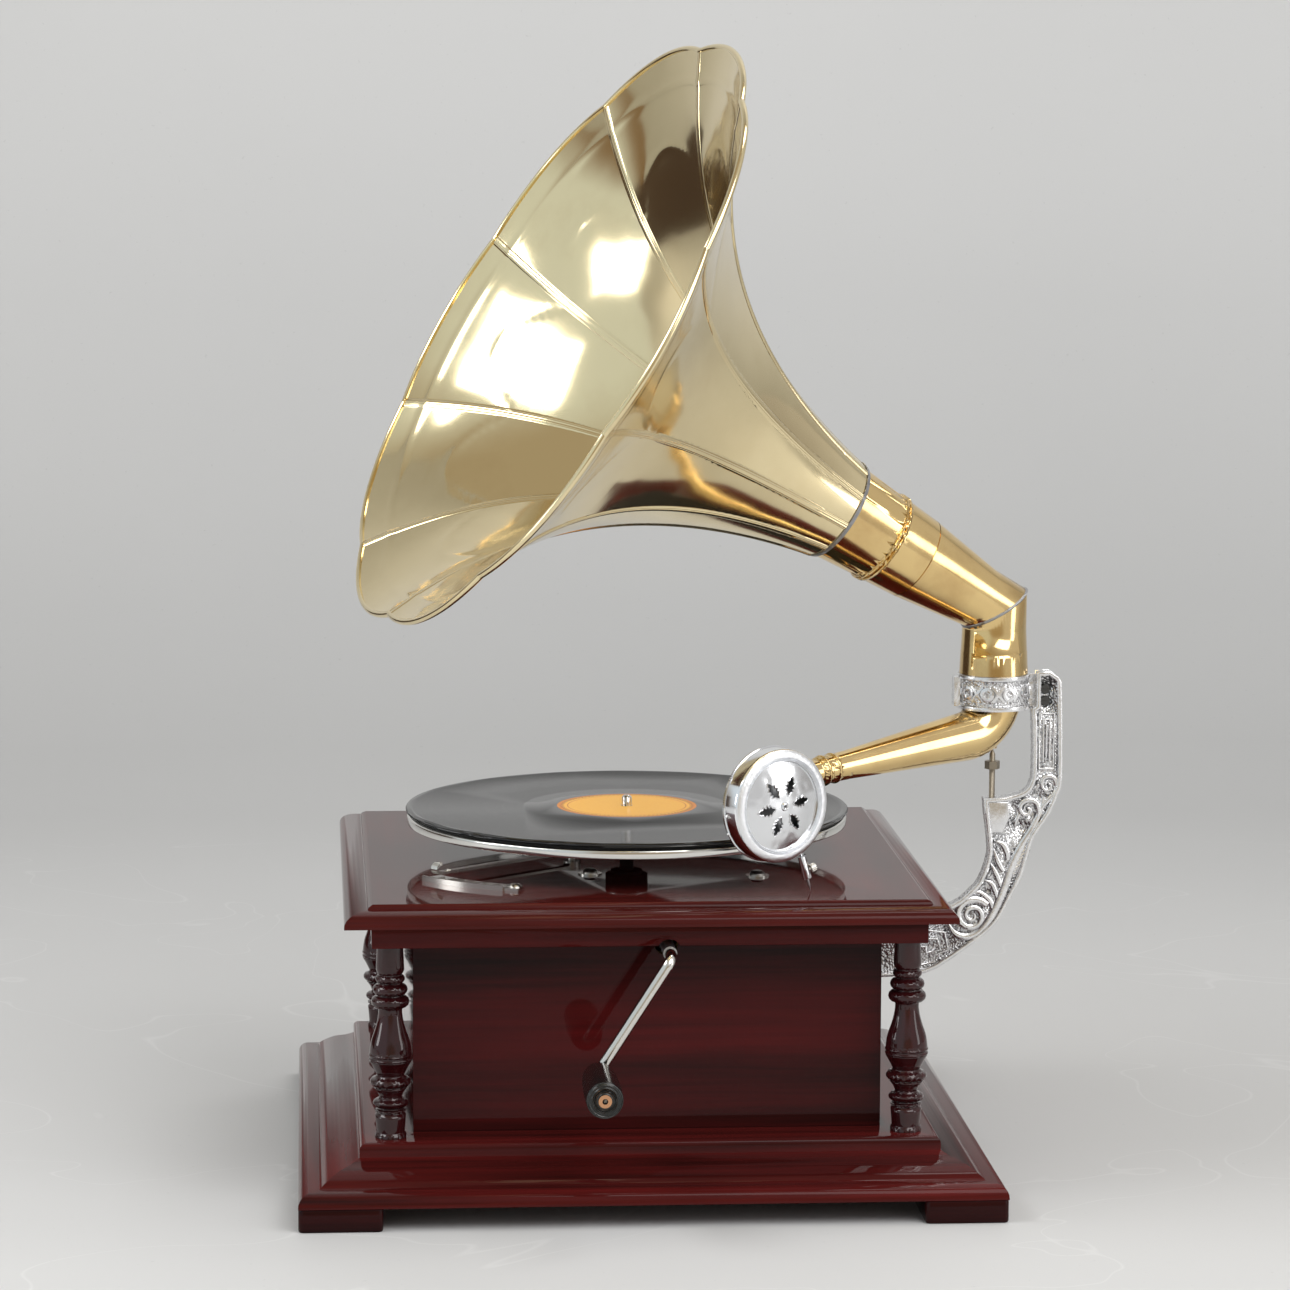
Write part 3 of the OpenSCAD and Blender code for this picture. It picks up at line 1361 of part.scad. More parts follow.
// One right-hand worm thread as a closed body of wedge sections
module worm_thread(half_length) {
    lead = PI * drive_module;
    steps = round(20 * 2 * half_length / lead);
    a0 = -360 * half_length / lead;
    root = worm_r - 1.1;
    tip = worm_r + 0.7;
    e = 4 * steps;
    points = [for (i = [0:steps]) let (a = a0 - 2 * a0 * i / steps, z = lead * a / 360)
        each [[root * cos(a), root * sin(a), z - 0.7], [tip * cos(a), tip * sin(a), z - 0.3],
              [tip * cos(a), tip * sin(a), z + 0.3], [root * cos(a), root * sin(a), z + 0.7]]];
    polyhedron(points, concat(
        [for (i = [0:steps - 1], k = [0:3]) let (a = 4 * i + k, b = 4 * i + (k + 1) % 4)
            each [[a, b, a + 4], [b, b + 4, a + 4]]],
        [[0, 2, 1], [0, 3, 2], [e, e + 1, e + 2], [e, e + 2, e + 3]]));
}

module governor_shaft() {
    color(steel)
        governor_frame() {
            translate([0, 0, governor_ends[0] - 2])
                cylinder(h = governor_ends[1] - governor_ends[0] + 4, r = governor_shaft_r);
            translate([0, 0, -8]) cylinder(h = 16, r = worm_r - 0.9);
            worm_thread(7);
            translate([0, 0, brake_y - 1]) cylinder(h = 2, r = governor_r);
        }
}

// Three weights on bowed leaf springs between two collars
module governor_weights() {
    y0 = brake_y + 2;
    y1 = governor_ends[1] - 4;
    half = (y1 - y0) / 2 - 2.5;
    color(brass)
        governor_frame() {
            for (y = [y0, y1 - 6])
                translate([0, 0, y]) difference() {
                    cylinder(h = 6, r = 4.4);
                    translate([0, 0, -1]) cylinder(h = 8, r = governor_shaft_r);
                }
            for (i = [0:2]) rotate([0, 0, 120 * i]) translate([6.9, 0, (y0 + y1) / 2]) {
                for (s = [-1, 1]) rotate([0, -10 * s, 0])
                    translate([-0.25, -2, s > 0 ? -0.5 : 0.5 - half]) cube([0.5, 4, half]);
                translate([2.4, 0, 0]) sphere(r = 3, $fn = 32);
            }
        }
}

// Local frame of the speed lever: +X runs out along the lever
module lever_frame() {
    translate([lever_x, lever_y, 0]) children();
}

module speed_lever() {
    z = lever_z;
    color(nickel)
        lever_frame() {
            translate([0, 0, worm_z - 2]) cylinder(h = z + lever_t - worm_z + 2, r = lever_shaft_r);
            translate([0, 0, z - 2.4]) cylinder(h = lever_t + 3.6, r = 5);
            rotate([0, 0, lever_angle]) {
                translate([0, -2.5, z]) cube([scale_r - 6, 5, lever_t]);
                translate([scale_r - 14, 0, z + lever_t - 0.2]) cylinder(h = 0.9, r = 1.6, $fn = 32);
                // finger piece: the strip's end curled up and over
                translate([scale_r - 6, 0, z + 3.2]) rotate([90, 0, 0])
                    linear_extrude(5, center = true)
                        polygon(concat(arc(0, 0, 3.2, -90, 90, 6), arc(0, 0, 3.2 - lever_t, 90, -90, 6)));
                translate([scale_r - 6, 0, z + 6.4 - lever_t / 2]) rotate([90, 0, 0])
                    cylinder(h = 5, r = 1.2, center = true, $fn = 32);
            }
            // brake arm below the upper plate
            translate([0, 0, worm_z - 2]) cylinder(h = 4, r = 4);
            translate([-1, 0, worm_z - 2]) cube([3, brake_y + 2 - lever_y, 4]);
        }
}

module brake_pad() {
    color(rubber)
        translate([lever_x + 2, brake_y - 2, worm_z - 2])
            cube([governor_x - governor_r - free_gap - lever_x - 2, 4, 4]);
}

// Scale plate: a curved plate with a raised outer edge and a tab for its screw
module scale_plate() {
    inner = scale_r - scale_w;
    a0 = lever_angle - 3.7;
    a1 = lever_angle + 26.3;
    color(brass)
        lever_frame() {
            translate([0, 0, lid_top]) {
                linear_extrude(scale_t) polygon(concat(
                    arc(0, 0, scale_r, a0, a1, 20), arc(0, 0, inner, a1, a0, 20)));
                linear_extrude(2.8) polygon(concat(
                    arc(0, 0, scale_r, a0, a1, 20), arc(0, 0, scale_r - 1.2, a1, a0, 20)));
                linear_extrude(scale_t) polygon(concat(
                    arc(0, 0, scale_r - 1.5, a1 - 0.2, a1 + 4.5, 4),
                    arc(0, 0, inner + 1.5, a1 + 4.5, a1 - 0.2, 4)));
                rotate([0, 0, a1 + 2.6]) translate([inner + scale_w / 2, 0, 0]) {
                    difference() {
                        union() {
                            translate([0, 0, 1]) cylinder(h = 1.2, r = 3.6, $fn = 32);
                            translate([0, 0, 2.2]) cylinder(h = 1, r1 = 3.6, r2 = 2.4, $fn = 32);
                        }
                        translate([-4, -0.4, 2.4]) cube([8, 0.8, 1]);
                    }
                }
                // division marks as fine ridges
                for (i = [0:5]) rotate([0, 0, a0 + 4 + 4.4 * i])
                    translate([inner + 2.5, -0.3, 1.4]) cube([5, 0.6, 0.4]);
            }
        }
}

corner_foot(-1, -1);  // foot_front_left
corner_foot(1, -1);  // foot_front_right
corner_foot(-1, 1);  // foot_back_left
corner_foot(1, 1);  // foot_back_right
plinth_moulding();
base_board();
panel_front();
panel_back();
panel_side(-1);  // panel_left
panel_side(1);  // panel_right
column(-1, -1);  // column_front_left
column(1, -1);  // column_front_right
column(-1, 1);  // column_back_left
column(1, 1);  // column_back_right
frieze_rail();
lid();
bracket();
bracket_screws();
collar();
collar_screws();
pivot_rod();
pivot_nut();
horn_elbow();
elbow_solder();
horn_neck();
horn_bell();
tonearm();
gooseneck();
soundbox_back();
soundbox_shell();
gaskets();
diaphragm();
soundbox_grille();
needle_holder();
needle();
needle_screw();
platter();
felt_mat();
record();
record_label();
spindle();
spring_barrel();
great_wheel();
mainspring();
barrel_arbor();
crown_wheel();
winding_shaft();
crank_rod();
crank_grip();
motor_plates();
motor_pillars();
shaft_bearings();
motor_screws();
screw_washers();
rubber_spacers();
governor_shaft();
governor_weights();
speed_lever();
brake_pad();
scale_plate();
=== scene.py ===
# %% [markdown]
# # A horn gramophone, dressed for its photograph
# The solid model already has every piece at its real size and place. Here each piece gets its finish,
# and the pieces whose looks come from fine shape are modelled again with more detail.
# All sizes are in metres and every piece stays where the solid model has it.

# %% Load the solid model
import bpy
import json
import math
import numpy as np
from mathutils import Matrix, Vector

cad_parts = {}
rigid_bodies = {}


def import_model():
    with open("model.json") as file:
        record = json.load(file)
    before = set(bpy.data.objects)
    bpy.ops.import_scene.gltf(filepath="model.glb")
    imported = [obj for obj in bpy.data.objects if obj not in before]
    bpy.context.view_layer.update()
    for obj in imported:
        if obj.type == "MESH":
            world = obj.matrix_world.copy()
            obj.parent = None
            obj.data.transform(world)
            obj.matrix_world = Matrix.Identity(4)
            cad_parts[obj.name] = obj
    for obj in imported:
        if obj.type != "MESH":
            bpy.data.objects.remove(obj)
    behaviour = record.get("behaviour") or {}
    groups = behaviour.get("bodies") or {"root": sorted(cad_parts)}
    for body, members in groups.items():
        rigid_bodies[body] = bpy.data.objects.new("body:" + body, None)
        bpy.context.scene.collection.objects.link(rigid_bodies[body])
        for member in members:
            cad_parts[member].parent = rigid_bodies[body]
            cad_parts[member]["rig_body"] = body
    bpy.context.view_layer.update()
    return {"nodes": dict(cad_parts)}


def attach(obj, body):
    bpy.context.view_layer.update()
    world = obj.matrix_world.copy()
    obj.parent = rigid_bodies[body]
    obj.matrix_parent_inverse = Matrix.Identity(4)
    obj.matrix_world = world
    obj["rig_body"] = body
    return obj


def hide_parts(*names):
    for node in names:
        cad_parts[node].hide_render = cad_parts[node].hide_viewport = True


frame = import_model()
NODES = frame["nodes"]

MM = 0.001
MERGE = 0.000004            # points of a solid's mesh that are closer than this become one
FINE_MERGE = 0.000002       # and of a mesh that is modelled here
FLAT = 0.4                  # degrees; neighbouring faces that turn less become one


def clear_selection():
    """Leaves object mode with nothing selected, so an operator acts only on what is made next."""
    if bpy.context.object and bpy.context.object.mode != "OBJECT":
        bpy.ops.object.mode_set(mode="OBJECT")
    for o in bpy.context.selected_objects:
        o.select_set(False)


def select_only(o):
    clear_selection()
    bpy.context.view_layer.objects.active = o
    o.select_set(True)


def add_object(name, data):
    """A new object of the scene, at the origin."""
    o = bpy.data.objects.new(name, data)
    bpy.context.scene.collection.objects.link(o)
    return o


def rad(*degrees):
    return tuple(math.radians(d) for d in degrees)


def turned_by(degrees, axis):
    return Matrix.Rotation(math.radians(degrees), 4, axis)


# %% [markdown]
# ## The camera
# The photograph was taken with a long lens from a little above the lid. The place and turn below were
# found by matching the corners of the case and the ellipse of the record.

# %% Place the camera
SENSOR, LENS, FAR = 36.0, 127.48, 50.0                  # mm, mm and m
CAMERA_AT = (-0.18168, -2.54521, 0.62542)
YAW, PITCH, ROLL = 0.0739957, 0.1317246, 0.0040775      # radians
camera = add_object("camera", bpy.data.cameras.new("camera"))
bpy.context.scene.camera = camera
camera.data.sensor_width = SENSOR
camera.data.lens = LENS
camera.data.clip_end = FAR
forward = Vector((math.sin(YAW) * math.cos(PITCH), math.cos(YAW) * math.cos(PITCH), -math.sin(PITCH)))
level = Vector((math.cos(YAW), -math.sin(YAW), 0.0))
over = level.cross(forward)
right = math.cos(ROLL) * level + math.sin(ROLL) * over
up = -math.sin(ROLL) * level + math.cos(ROLL) * over
turn = Matrix((right, up, -forward)).transposed().to_4x4()
camera.matrix_world = Matrix.Translation(CAMERA_AT) @ turn
print("camera at", [round(v, 3) for v in camera.location])


# %% [markdown]
# ## Tools for the finishes
# A finish is a small network of nodes around one Principled shader. These helpers keep each network
# short: one makes the shader, one adds a node and joins it up, and one turns a height into bumps.

# %% Helpers for materials
def new_finish(name, **sockets):
    """A material with one Principled shader; each keyword sets a socket, with _ for a space."""
    m = bpy.data.materials.new(name)
    m.use_nodes = True
    shader = m.node_tree.nodes["Principled BSDF"]
    for key, value in sockets.items():
        shader.inputs[key.replace("_", " ")].default_value = value
    return m, m.node_tree, shader


def put(tree, kind, inputs=None, **settings):
    """Adds a node, sets its settings, and fills or links its inputs."""
    n = tree.nodes.new(kind)
    for key, value in settings.items():
        setattr(n, key, value)
    for key, value in (inputs or {}).items():
        socket = n.inputs[key]
        if isinstance(value, bpy.types.NodeSocket):
            tree.links.new(value, socket)
        else:
            socket.default_value = value
    return n


def ramp(tree, source, stops):
    """A colour ramp; stops are (place, colour or grey)."""
    n = put(tree, "ShaderNodeValToRGB", {"Fac": source})
    while len(n.color_ramp.elements) < len(stops):
        n.color_ramp.elements.new(0.5)
    for e, (place, colour) in zip(n.color_ramp.elements, stops):
        e.position = place
        e.color = (*colour, 1.0) if isinstance(colour, tuple) else (colour, colour, colour, 1.0)
    return n.outputs["Color"]


def maths(tree, operation, a, b=0.0, c=0.0):
    return put(tree, "ShaderNodeMath", {0: a, 1: b, 2: c}, operation=operation).outputs[0]


def between(tree, value, low, high, **settings):
    """0 where the value is at most low, 1 where it is at least high, and a slope in between."""
    return put(tree, "ShaderNodeMapRange", {"Value": value, "From Min": low, "From Max": high},
               **settings).outputs["Result"]


def object_place(tree, scale=(1.0, 1.0, 1.0), move=(0.0, 0.0, 0.0), rotate=(0.0, 0.0, 0.0)):
    """The place on the piece in metres, moved, turned and scaled."""
    where = put(tree, "ShaderNodeTexCoord").outputs["Object"]
    placing = {"Vector": where, "Scale": scale, "Location": move, "Rotation": rotate}
    return put(tree, "ShaderNodeMapping", placing).outputs["Vector"]


def axes(tree, **placing):
    """The X, Y and Z of the place on the piece."""
    return put(tree, "ShaderNodeSeparateXYZ", {"Vector": object_place(tree, **placing)}).outputs


def noise(tree, where, scale, detail=4.0, roughness=0.5, distortion=0.0):
    return put(tree, "ShaderNodeTexNoise", {"Vector": where, "Scale": scale, "Detail": detail,
               "Roughness": roughness, "Distortion": distortion}).outputs["Fac"]


def mix(tree, share, a, b, blend="MIX"):
    n = put(tree, "ShaderNodeMix", data_type="RGBA", blend_type=blend)
    for key, value in (("Factor", share), ("A", a), ("B", b)):
        socket = [s for s in n.inputs if s.name == key and (s.type == "RGBA") == (key != "Factor")
                  and s.type in ("RGBA", "VALUE")][0]
        if isinstance(value, bpy.types.NodeSocket):
            tree.links.new(value, socket)
        else:
            socket.default_value = (*value, 1.0) if isinstance(value, tuple) else value
    return [s for s in n.outputs if s.type == "RGBA"][0]


def bumps(tree, shader, height, distance, strength=1.0):
    """Joins a height, times the distance in metres, to the shader's normal."""
    n = put(tree, "ShaderNodeBump", {"Height": height, "Distance": distance, "Strength": strength})
    tree.links.new(n.outputs["Normal"], shader.inputs["Normal"])


# %% [markdown]
# ## Varnished mahogany
# The case is stained a deep red-brown under a thick, glossy varnish. Streaks of brighter red run along
# each board, so the streaks are a noise pattern stretched along the grain. On a moulding the boards meet
# in mitred corners, so the grain follows whichever side of the case the place is on.

# %% Make the mahogany
STREAK, FIBRE = 2.2, 60.0           # how fast the grain changes along a board and across it


def mahogany(name, along, dark, red=(0.105, 0.0080, 0.0085), varnish=1.22):
    """along is 'X', 'Y' or 'Z' for a single board, or 'sides' for a frame round the case."""
    m, tree, shader = new_finish(name, Roughness=0.3, Coat_Weight=1.0, Coat_Roughness=0.04, Coat_IOR=varnish,
                                 Specular_IOR_Level=0.0)

    def grain(axis, move):
        where = object_place(tree, [STREAK if a == axis else FIBRE for a in "XYZ"], move)
        return noise(tree, where, 0.55, 3.0, 0.55, 0.6), noise(tree, where, 3.2, 5.0, 0.62, 0.2)

    if along == "sides":
        place = axes(tree)
        at_side = maths(tree, "GREATER_THAN", maths(tree, "ABSOLUTE", place["X"]),
                        maths(tree, "ABSOLUTE", place["Y"]))
        at_front = maths(tree, "SUBTRACT", 1.0, at_side)
        both = zip(grain("X", (0.0, 0.3, 0.1)), grain("Y", (0.4, 0.0, 0.2)))
        wide, thin = (maths(tree, "ADD", maths(tree, "MULTIPLY", side, at_side),
                            maths(tree, "MULTIPLY", front, at_front)) for front, side in both)
    else:
        wide, thin = grain(along, (0.13, 0.21, 0.34))
    share = maths(tree, "MULTIPLY_ADD", thin, 0.45, maths(tree, "MULTIPLY", wide, 0.75))
    middle = tuple(0.45 * r + 0.55 * d for r, d in zip(red, dark))
    colour = ramp(tree, share, [(0.40, dark), (0.60, middle), (0.82, red)])
    cloud = noise(tree, object_place(tree, (3.0, 3.0, 3.0)), 4.0, 2.0)
    colour = mix(tree, maths(tree, "MULTIPLY", cloud, 0.5), colour, dark)
    tree.links.new(colour, shader.inputs["Base Color"])
    bumps(tree, shader, thin, 0.00006, 0.6)
    return m


wood_front = mahogany("mahogany front", "X", dark=(0.014, 0.0045, 0.0042))
wood_side = mahogany("mahogany side", "Y", dark=(0.014, 0.0045, 0.0042))
wood_turned = mahogany("mahogany turned", "Z", dark=(0.009, 0.0020, 0.0025), red=(0.055, 0.006, 0.007),
                       varnish=1.5)
wood_frame = mahogany("mahogany moulding", "sides", dark=(0.021, 0.0040, 0.0036), red=(0.155, 0.013, 0.012))
wood_lid = mahogany("mahogany lid", "sides", dark=(0.022, 0.0050, 0.0042), red=(0.125, 0.013, 0.011))
wood_dark = mahogany("mahogany foot", "X", dark=(0.008, 0.002, 0.002), red=(0.05, 0.006, 0.006))
print("woods made, materials:", len(bpy.data.materials))


# %% [markdown]
# ## Metals
# Polished brass is bright and smooth but never perfect: the sheet is a little wavy where it was beaten,
# and it carries fine scratches and faint tarnish. The cast bracket is bright on its raised edges, and its
# sunk ground is painted dark as shade, darkest between its pebbles. Chrome and nickel are cleaner, with fine
# wear.

# %% Make the metals
def metal(name, colour, rough, wave=0.0, scratch=0.0, tarnish=None, tarnish_share=0.25, wave_scale=14.0):
    """wave is the height of the sheet's waves in metres, and scratch the roughness that scratches add."""
    m, tree, shader = new_finish(name, Metallic=1.0, Roughness=rough)
    where = object_place(tree)
    cloud = noise(tree, where, 22.0, 5.0, 0.6)
    spots = ramp(tree, cloud, [(0.45, 0.0), (0.75, 1.0)])
    if tarnish:
        share = maths(tree, "MULTIPLY", spots, tarnish_share)
        tree.links.new(mix(tree, share, colour, tarnish), shader.inputs["Base Color"])
    else:
        shader.inputs["Base Color"].default_value = (*colour, 1.0)
    scratches = noise(tree, object_place(tree, (40.0, 900.0, 260.0), rotate=rad(20, 35, 10)), 2.0, 6.0, 0.7)
    smear = maths(tree, "MULTIPLY_ADD", cloud, 0.5 * rough + 0.03, rough * 0.75)
    tree.links.new(maths(tree, "MULTIPLY_ADD", scratches, scratch, smear), shader.inputs["Roughness"])
    if wave:
        bumps(tree, shader, noise(tree, where, wave_scale, 2.0, 0.4), wave)
    return m


brass = metal("polished brass", (0.88, 0.745, 0.46), 0.07, wave=0.0012, scratch=0.05,
              tarnish=(0.62, 0.46, 0.24), tarnish_share=0.25)
brass_pipe = metal("pipe brass", (0.82, 0.60, 0.28), 0.09, wave=0.0003, wave_scale=30.0, scratch=0.06,
                   tarnish=(0.42, 0.24, 0.09), tarnish_share=0.55)
brass_arm = metal("arm brass", (0.83, 0.61, 0.29), 0.08, scratch=0.05, tarnish=(0.50, 0.31, 0.12),
                  tarnish_share=0.4)
gear_brass = metal("machined brass", (0.68, 0.50, 0.22), 0.28, scratch=0.1)
solder = metal("solder", (0.40, 0.40, 0.41), 0.42, wave=0.0008, wave_scale=300.0,
               tarnish=(0.16, 0.16, 0.17), tarnish_share=0.6)
chrome = metal("chrome", (0.76, 0.77, 0.79), 0.07, scratch=0.05)
nickel = metal("nickel", (0.70, 0.68, 0.64), 0.13, scratch=0.10, tarnish=(0.35, 0.32, 0.28),
               tarnish_share=0.3)
steel = metal("bright steel", (0.50, 0.50, 0.51), 0.30, scratch=0.15)
screw_metal = metal("screw steel", (0.45, 0.44, 0.42), 0.25, scratch=0.1, tarnish=(0.2, 0.18, 0.15))
rod_metal = metal("dull rod", (0.34, 0.30, 0.24), 0.35, scratch=0.15, tarnish=(0.16, 0.12, 0.08),
                  tarnish_share=0.5)
black_screw = metal("blackened screw", (0.10, 0.10, 0.10), 0.35, scratch=0.1)


def beaten(name, colour, rough, dents, depth, ring=None):
    """Bright metal with small round dents; ring = (normal, distance) leaves all behind that plane smooth."""
    m, tree, shader = new_finish(name, Metallic=1.0, Base_Color=(*colour, 1.0))
    where = object_place(tree)
    cell = put(tree, "ShaderNodeTexVoronoi", {"Vector": where, "Scale": dents},
               feature="SMOOTH_F1").outputs["Distance"]
    share = 1.0
    if ring:
        at = put(tree, "ShaderNodeVectorMath", {0: where, 1: ring[0]},
                 operation="DOT_PRODUCT").outputs["Value"]
        share = maths(tree, "GREATER_THAN", at, ring[1])
    cloud = noise(tree, where, 90.0, 4.0, 0.6)
    worn = maths(tree, "MULTIPLY_ADD", cloud, 0.12, 0.05)
    tree.links.new(maths(tree, "MULTIPLY_ADD", share, rough, worn), shader.inputs["Roughness"])
    bumps(tree, shader, maths(tree, "MULTIPLY", cell, share), depth)
    return m


BOX_TURN = math.radians(31.6)       # the soundbox's face looks this far to the right of straight forward
BOX_FACE = ((math.sin(BOX_TURN), -math.cos(BOX_TURN), 0.0), 0.1572)     # and the plane behind its face ring
hammered = beaten("hammered chrome", (0.90, 0.91, 0.93), 0.26, 700.0, 0.00016, ring=BOX_FACE)
pressed = beaten("pressed chrome", (0.80, 0.81, 0.83), 0.06, 150.0, 0.0004)


def cast_metal(name, ground_at, band=None):
    """Bright raised metal with a sunk ground, which lies at the depths given and is painted dark as shade.

    The depth is read along Y, or for a band, given as (x of its axis, radius), from that radius.
    """
    m, tree, shader = new_finish(name, Metallic=1.0, Roughness=0.30)
    place = axes(tree)
    if band is None:
        depth = maths(tree, "ABSOLUTE", place["Y"])
    else:
        east = maths(tree, "SUBTRACT", place["X"], band[0])
        square = maths(tree, "MULTIPLY_ADD", place["Y"], place["Y"], maths(tree, "MULTIPLY", east, east))
        depth = maths(tree, "ABSOLUTE", maths(tree, "SUBTRACT", maths(tree, "SQRT", square), band[1]))
    raised = between(tree, depth, *ground_at)
    where = object_place(tree)
    cloud = noise(tree, where, 180.0, 5.0, 0.65)
    pebble = put(tree, "ShaderNodeTexVoronoi", {"Vector": where, "Scale": 720.0}).outputs["Distance"]
    # painted shade: the sunk ground is darker, and darkest in the gaps between its pebbles, where shade would
    # fall
    dark = ramp(tree, pebble, [(0.35, (0.76, 0.76, 0.77)), (0.65, (0.60, 0.60, 0.61)),
                               (0.95, (0.22, 0.22, 0.23))])
    bright = ramp(tree, cloud, [(0.35, (0.78, 0.78, 0.79)), (0.60, (0.90, 0.90, 0.91))])
    tree.links.new(mix(tree, raised, dark, bright), shader.inputs["Base Color"])
    tree.links.new(maths(tree, "MULTIPLY_ADD", cloud, 0.2, 0.16), shader.inputs["Roughness"])
    grain = noise(tree, where, 420.0, 3.0, 0.6)
    pits = maths(tree, "MULTIPLY", pebble, -1.6)
    sunk = maths(tree, "MULTIPLY", maths(tree, "SUBTRACT", 1.0, raised), pits)
    bumps(tree, shader, maths(tree, "ADD", sunk, maths(tree, "MULTIPLY", grain, 0.35)), 0.0003)
    return m


COLLAR_X, BAND_R = 0.2053, 0.0198   # the collar's axis, and the radius of its band's ground
cast_bracket = cast_metal("cast bracket metal", (0.0032, 0.0039))
cast_collar = cast_metal("cast collar metal", (0.00012, 0.0005), band=(COLLAR_X, BAND_R))
print("metals made, materials:", len(bpy.data.materials))


# %% [markdown]
# ## Shellac, paper, lacquer, felt and rubber
# The record is glossy black. Its grooves are far too fine to model, so they are rings in the bump, and the
# bare band round the label has none. The other finishes are plain, with the small changes in gloss that
# keep them from looking like one flat colour.

# %% Make the other finishes
SPINDLE = Vector((-0.003, 0.0, 0.0))
GROOVE = 0.00055                        # from one drawn groove to the next
GROOVES_FROM, GROOVES_TO = 0.0585, 0.1212
TEETH, TOOTH, TEETH_R, THIN_RING_R = 88, 0.0040, 0.0352, 0.0335     # of the ring printed on the label
# painted shade: the platter's underside and the spindle below it are coloured dark, as the gap under the
# platter lies in shade
PLATTER_EDGE, HUB_R = 0.1224, 0.05      # the platter and the spindle are dark inside these
UNDERSIDE = 0.19                        # and below this height
GRIP_AXIS, GRIP_FACE = (-0.0300, 0.0796), -0.2318       # x and z of the grip's axis, and y of its end
# BORE_R is the radius of the dark disc painted as the shade inside the hole in the crank's end
BORE_R, TURNING = 0.0015, 0.0016                        # the hole in the crank's end, and from ring to ring


def ring_distance(tree, centre):
    """Distance from an upright axis, in metres."""
    where = object_place(tree, move=(-centre[0], -centre[1], 0.0))
    flat = put(tree, "ShaderNodeVectorMath", {0: where, 1: (1.0, 1.0, 0.0)}, operation="MULTIPLY").outputs[0]
    return put(tree, "ShaderNodeVectorMath", {0: flat}, operation="LENGTH").outputs["Value"]


def shellac():
    m, tree, shader = new_finish("shellac", Base_Color=(0.006, 0.006, 0.007, 1.0), Roughness=0.2,
                                 Specular_IOR_Level=0.55)
    r = ring_distance(tree, SPINDLE)
    fine = maths(tree, "SINE", maths(tree, "MULTIPLY", r, 2 * math.pi / GROOVE))
    bands = noise(tree, put(tree, "ShaderNodeCombineXYZ", {"X": r}).outputs[0], 420.0, 3.0, 0.7)
    grooved = maths(tree, "MULTIPLY", maths(tree, "GREATER_THAN", r, GROOVES_FROM),
                    maths(tree, "LESS_THAN", r, GROOVES_TO))
    shade = maths(tree, "MULTIPLY_ADD", bands, 0.10, 0.16)
    rough = maths(tree, "MULTIPLY_ADD", grooved, maths(tree, "SUBTRACT", shade, 0.10), 0.10)
    tree.links.new(rough, shader.inputs["Roughness"])
    height = maths(tree, "MULTIPLY", maths(tree, "MULTIPLY_ADD", fine, 0.5, bands), grooved)
    bumps(tree, shader, height, 0.00004, 0.35)
    return m


def label_paper():
    """Plain orange paper with a darker saw-toothed ring and a thin inner ring, and no words."""
    m, tree, shader = new_finish("label paper", Roughness=0.42, Specular_IOR_Level=0.35)
    r = ring_distance(tree, SPINDLE)
    place = axes(tree, move=(-SPINDLE.x, 0.0, 0.0))
    angle = maths(tree, "ARCTAN2", place["Y"], place["X"])
    saw = maths(tree, "PINGPONG", maths(tree, "MULTIPLY", angle, TEETH / (2 * math.pi)), 0.5)
    edge = maths(tree, "MULTIPLY_ADD", saw, TOOTH, TEETH_R)
    inside = maths(tree, "LESS_THAN", r, edge)
    shadow = maths(tree, "LESS_THAN", r, maths(tree, "ADD", edge, 0.0007))
    fibre = noise(tree, object_place(tree), 900.0, 4.0, 0.7)
    edging = ramp(tree, fibre, [(0.3, (0.62, 0.20, 0.025)), (0.7, (0.74, 0.28, 0.04))])
    field = ramp(tree, fibre, [(0.3, (0.90, 0.44, 0.045)), (0.7, (0.96, 0.53, 0.07))])
    colour = mix(tree, shadow, edging, (0.22, 0.055, 0.012))
    colour = mix(tree, inside, colour, field)
    from_ring = maths(tree, "ABSOLUTE", maths(tree, "SUBTRACT", r, THIN_RING_R))
    colour = mix(tree, maths(tree, "LESS_THAN", from_ring, 0.0003), colour, (0.62, 0.20, 0.03))
    tree.links.new(colour, shader.inputs["Base Color"])
    return m


def plain(name, colour, rough, grain=600.0, height=0.00005, **more):
    """One colour, a little darker and glossier in a fine cloud of spots."""
    spread = 0.12
    m, tree, shader = new_finish(name, Roughness=rough, **more)
    cloud = noise(tree, object_place(tree), grain, 4.0, 0.6)
    low = tuple(c * (1 - spread * 2) for c in colour)
    tree.links.new(ramp(tree, cloud, [(0.35, low), (0.65, colour)]), shader.inputs["Base Color"])
    tree.links.new(maths(tree, "MULTIPLY_ADD", cloud, spread, rough - spread / 2), shader.inputs["Roughness"])
    bumps(tree, shader, cloud, height)
    return m


def painted_shade_within(name, bright, dark, radius, height):
    """Polished metal outside the radius or above the height, and dark elsewhere as painted shade."""
    m, tree, shader = new_finish(name, Specular_IOR_Level=0.0)
    outside = maths(tree, "GREATER_THAN", ring_distance(tree, SPINDLE), radius)
    share = maths(tree, "MAXIMUM", outside, maths(tree, "GREATER_THAN", axes(tree)["Z"], height))
    tree.links.new(share, shader.inputs["Metallic"])
    tree.links.new(mix(tree, share, dark, bright), shader.inputs["Base Color"])
    scratch = noise(tree, object_place(tree), 120.0, 5.0, 0.6)
    rough = maths(tree, "MULTIPLY_ADD", share, -0.40, maths(tree, "MULTIPLY_ADD", scratch, 0.10, 0.47))
    tree.links.new(rough, shader.inputs["Roughness"])
    return m


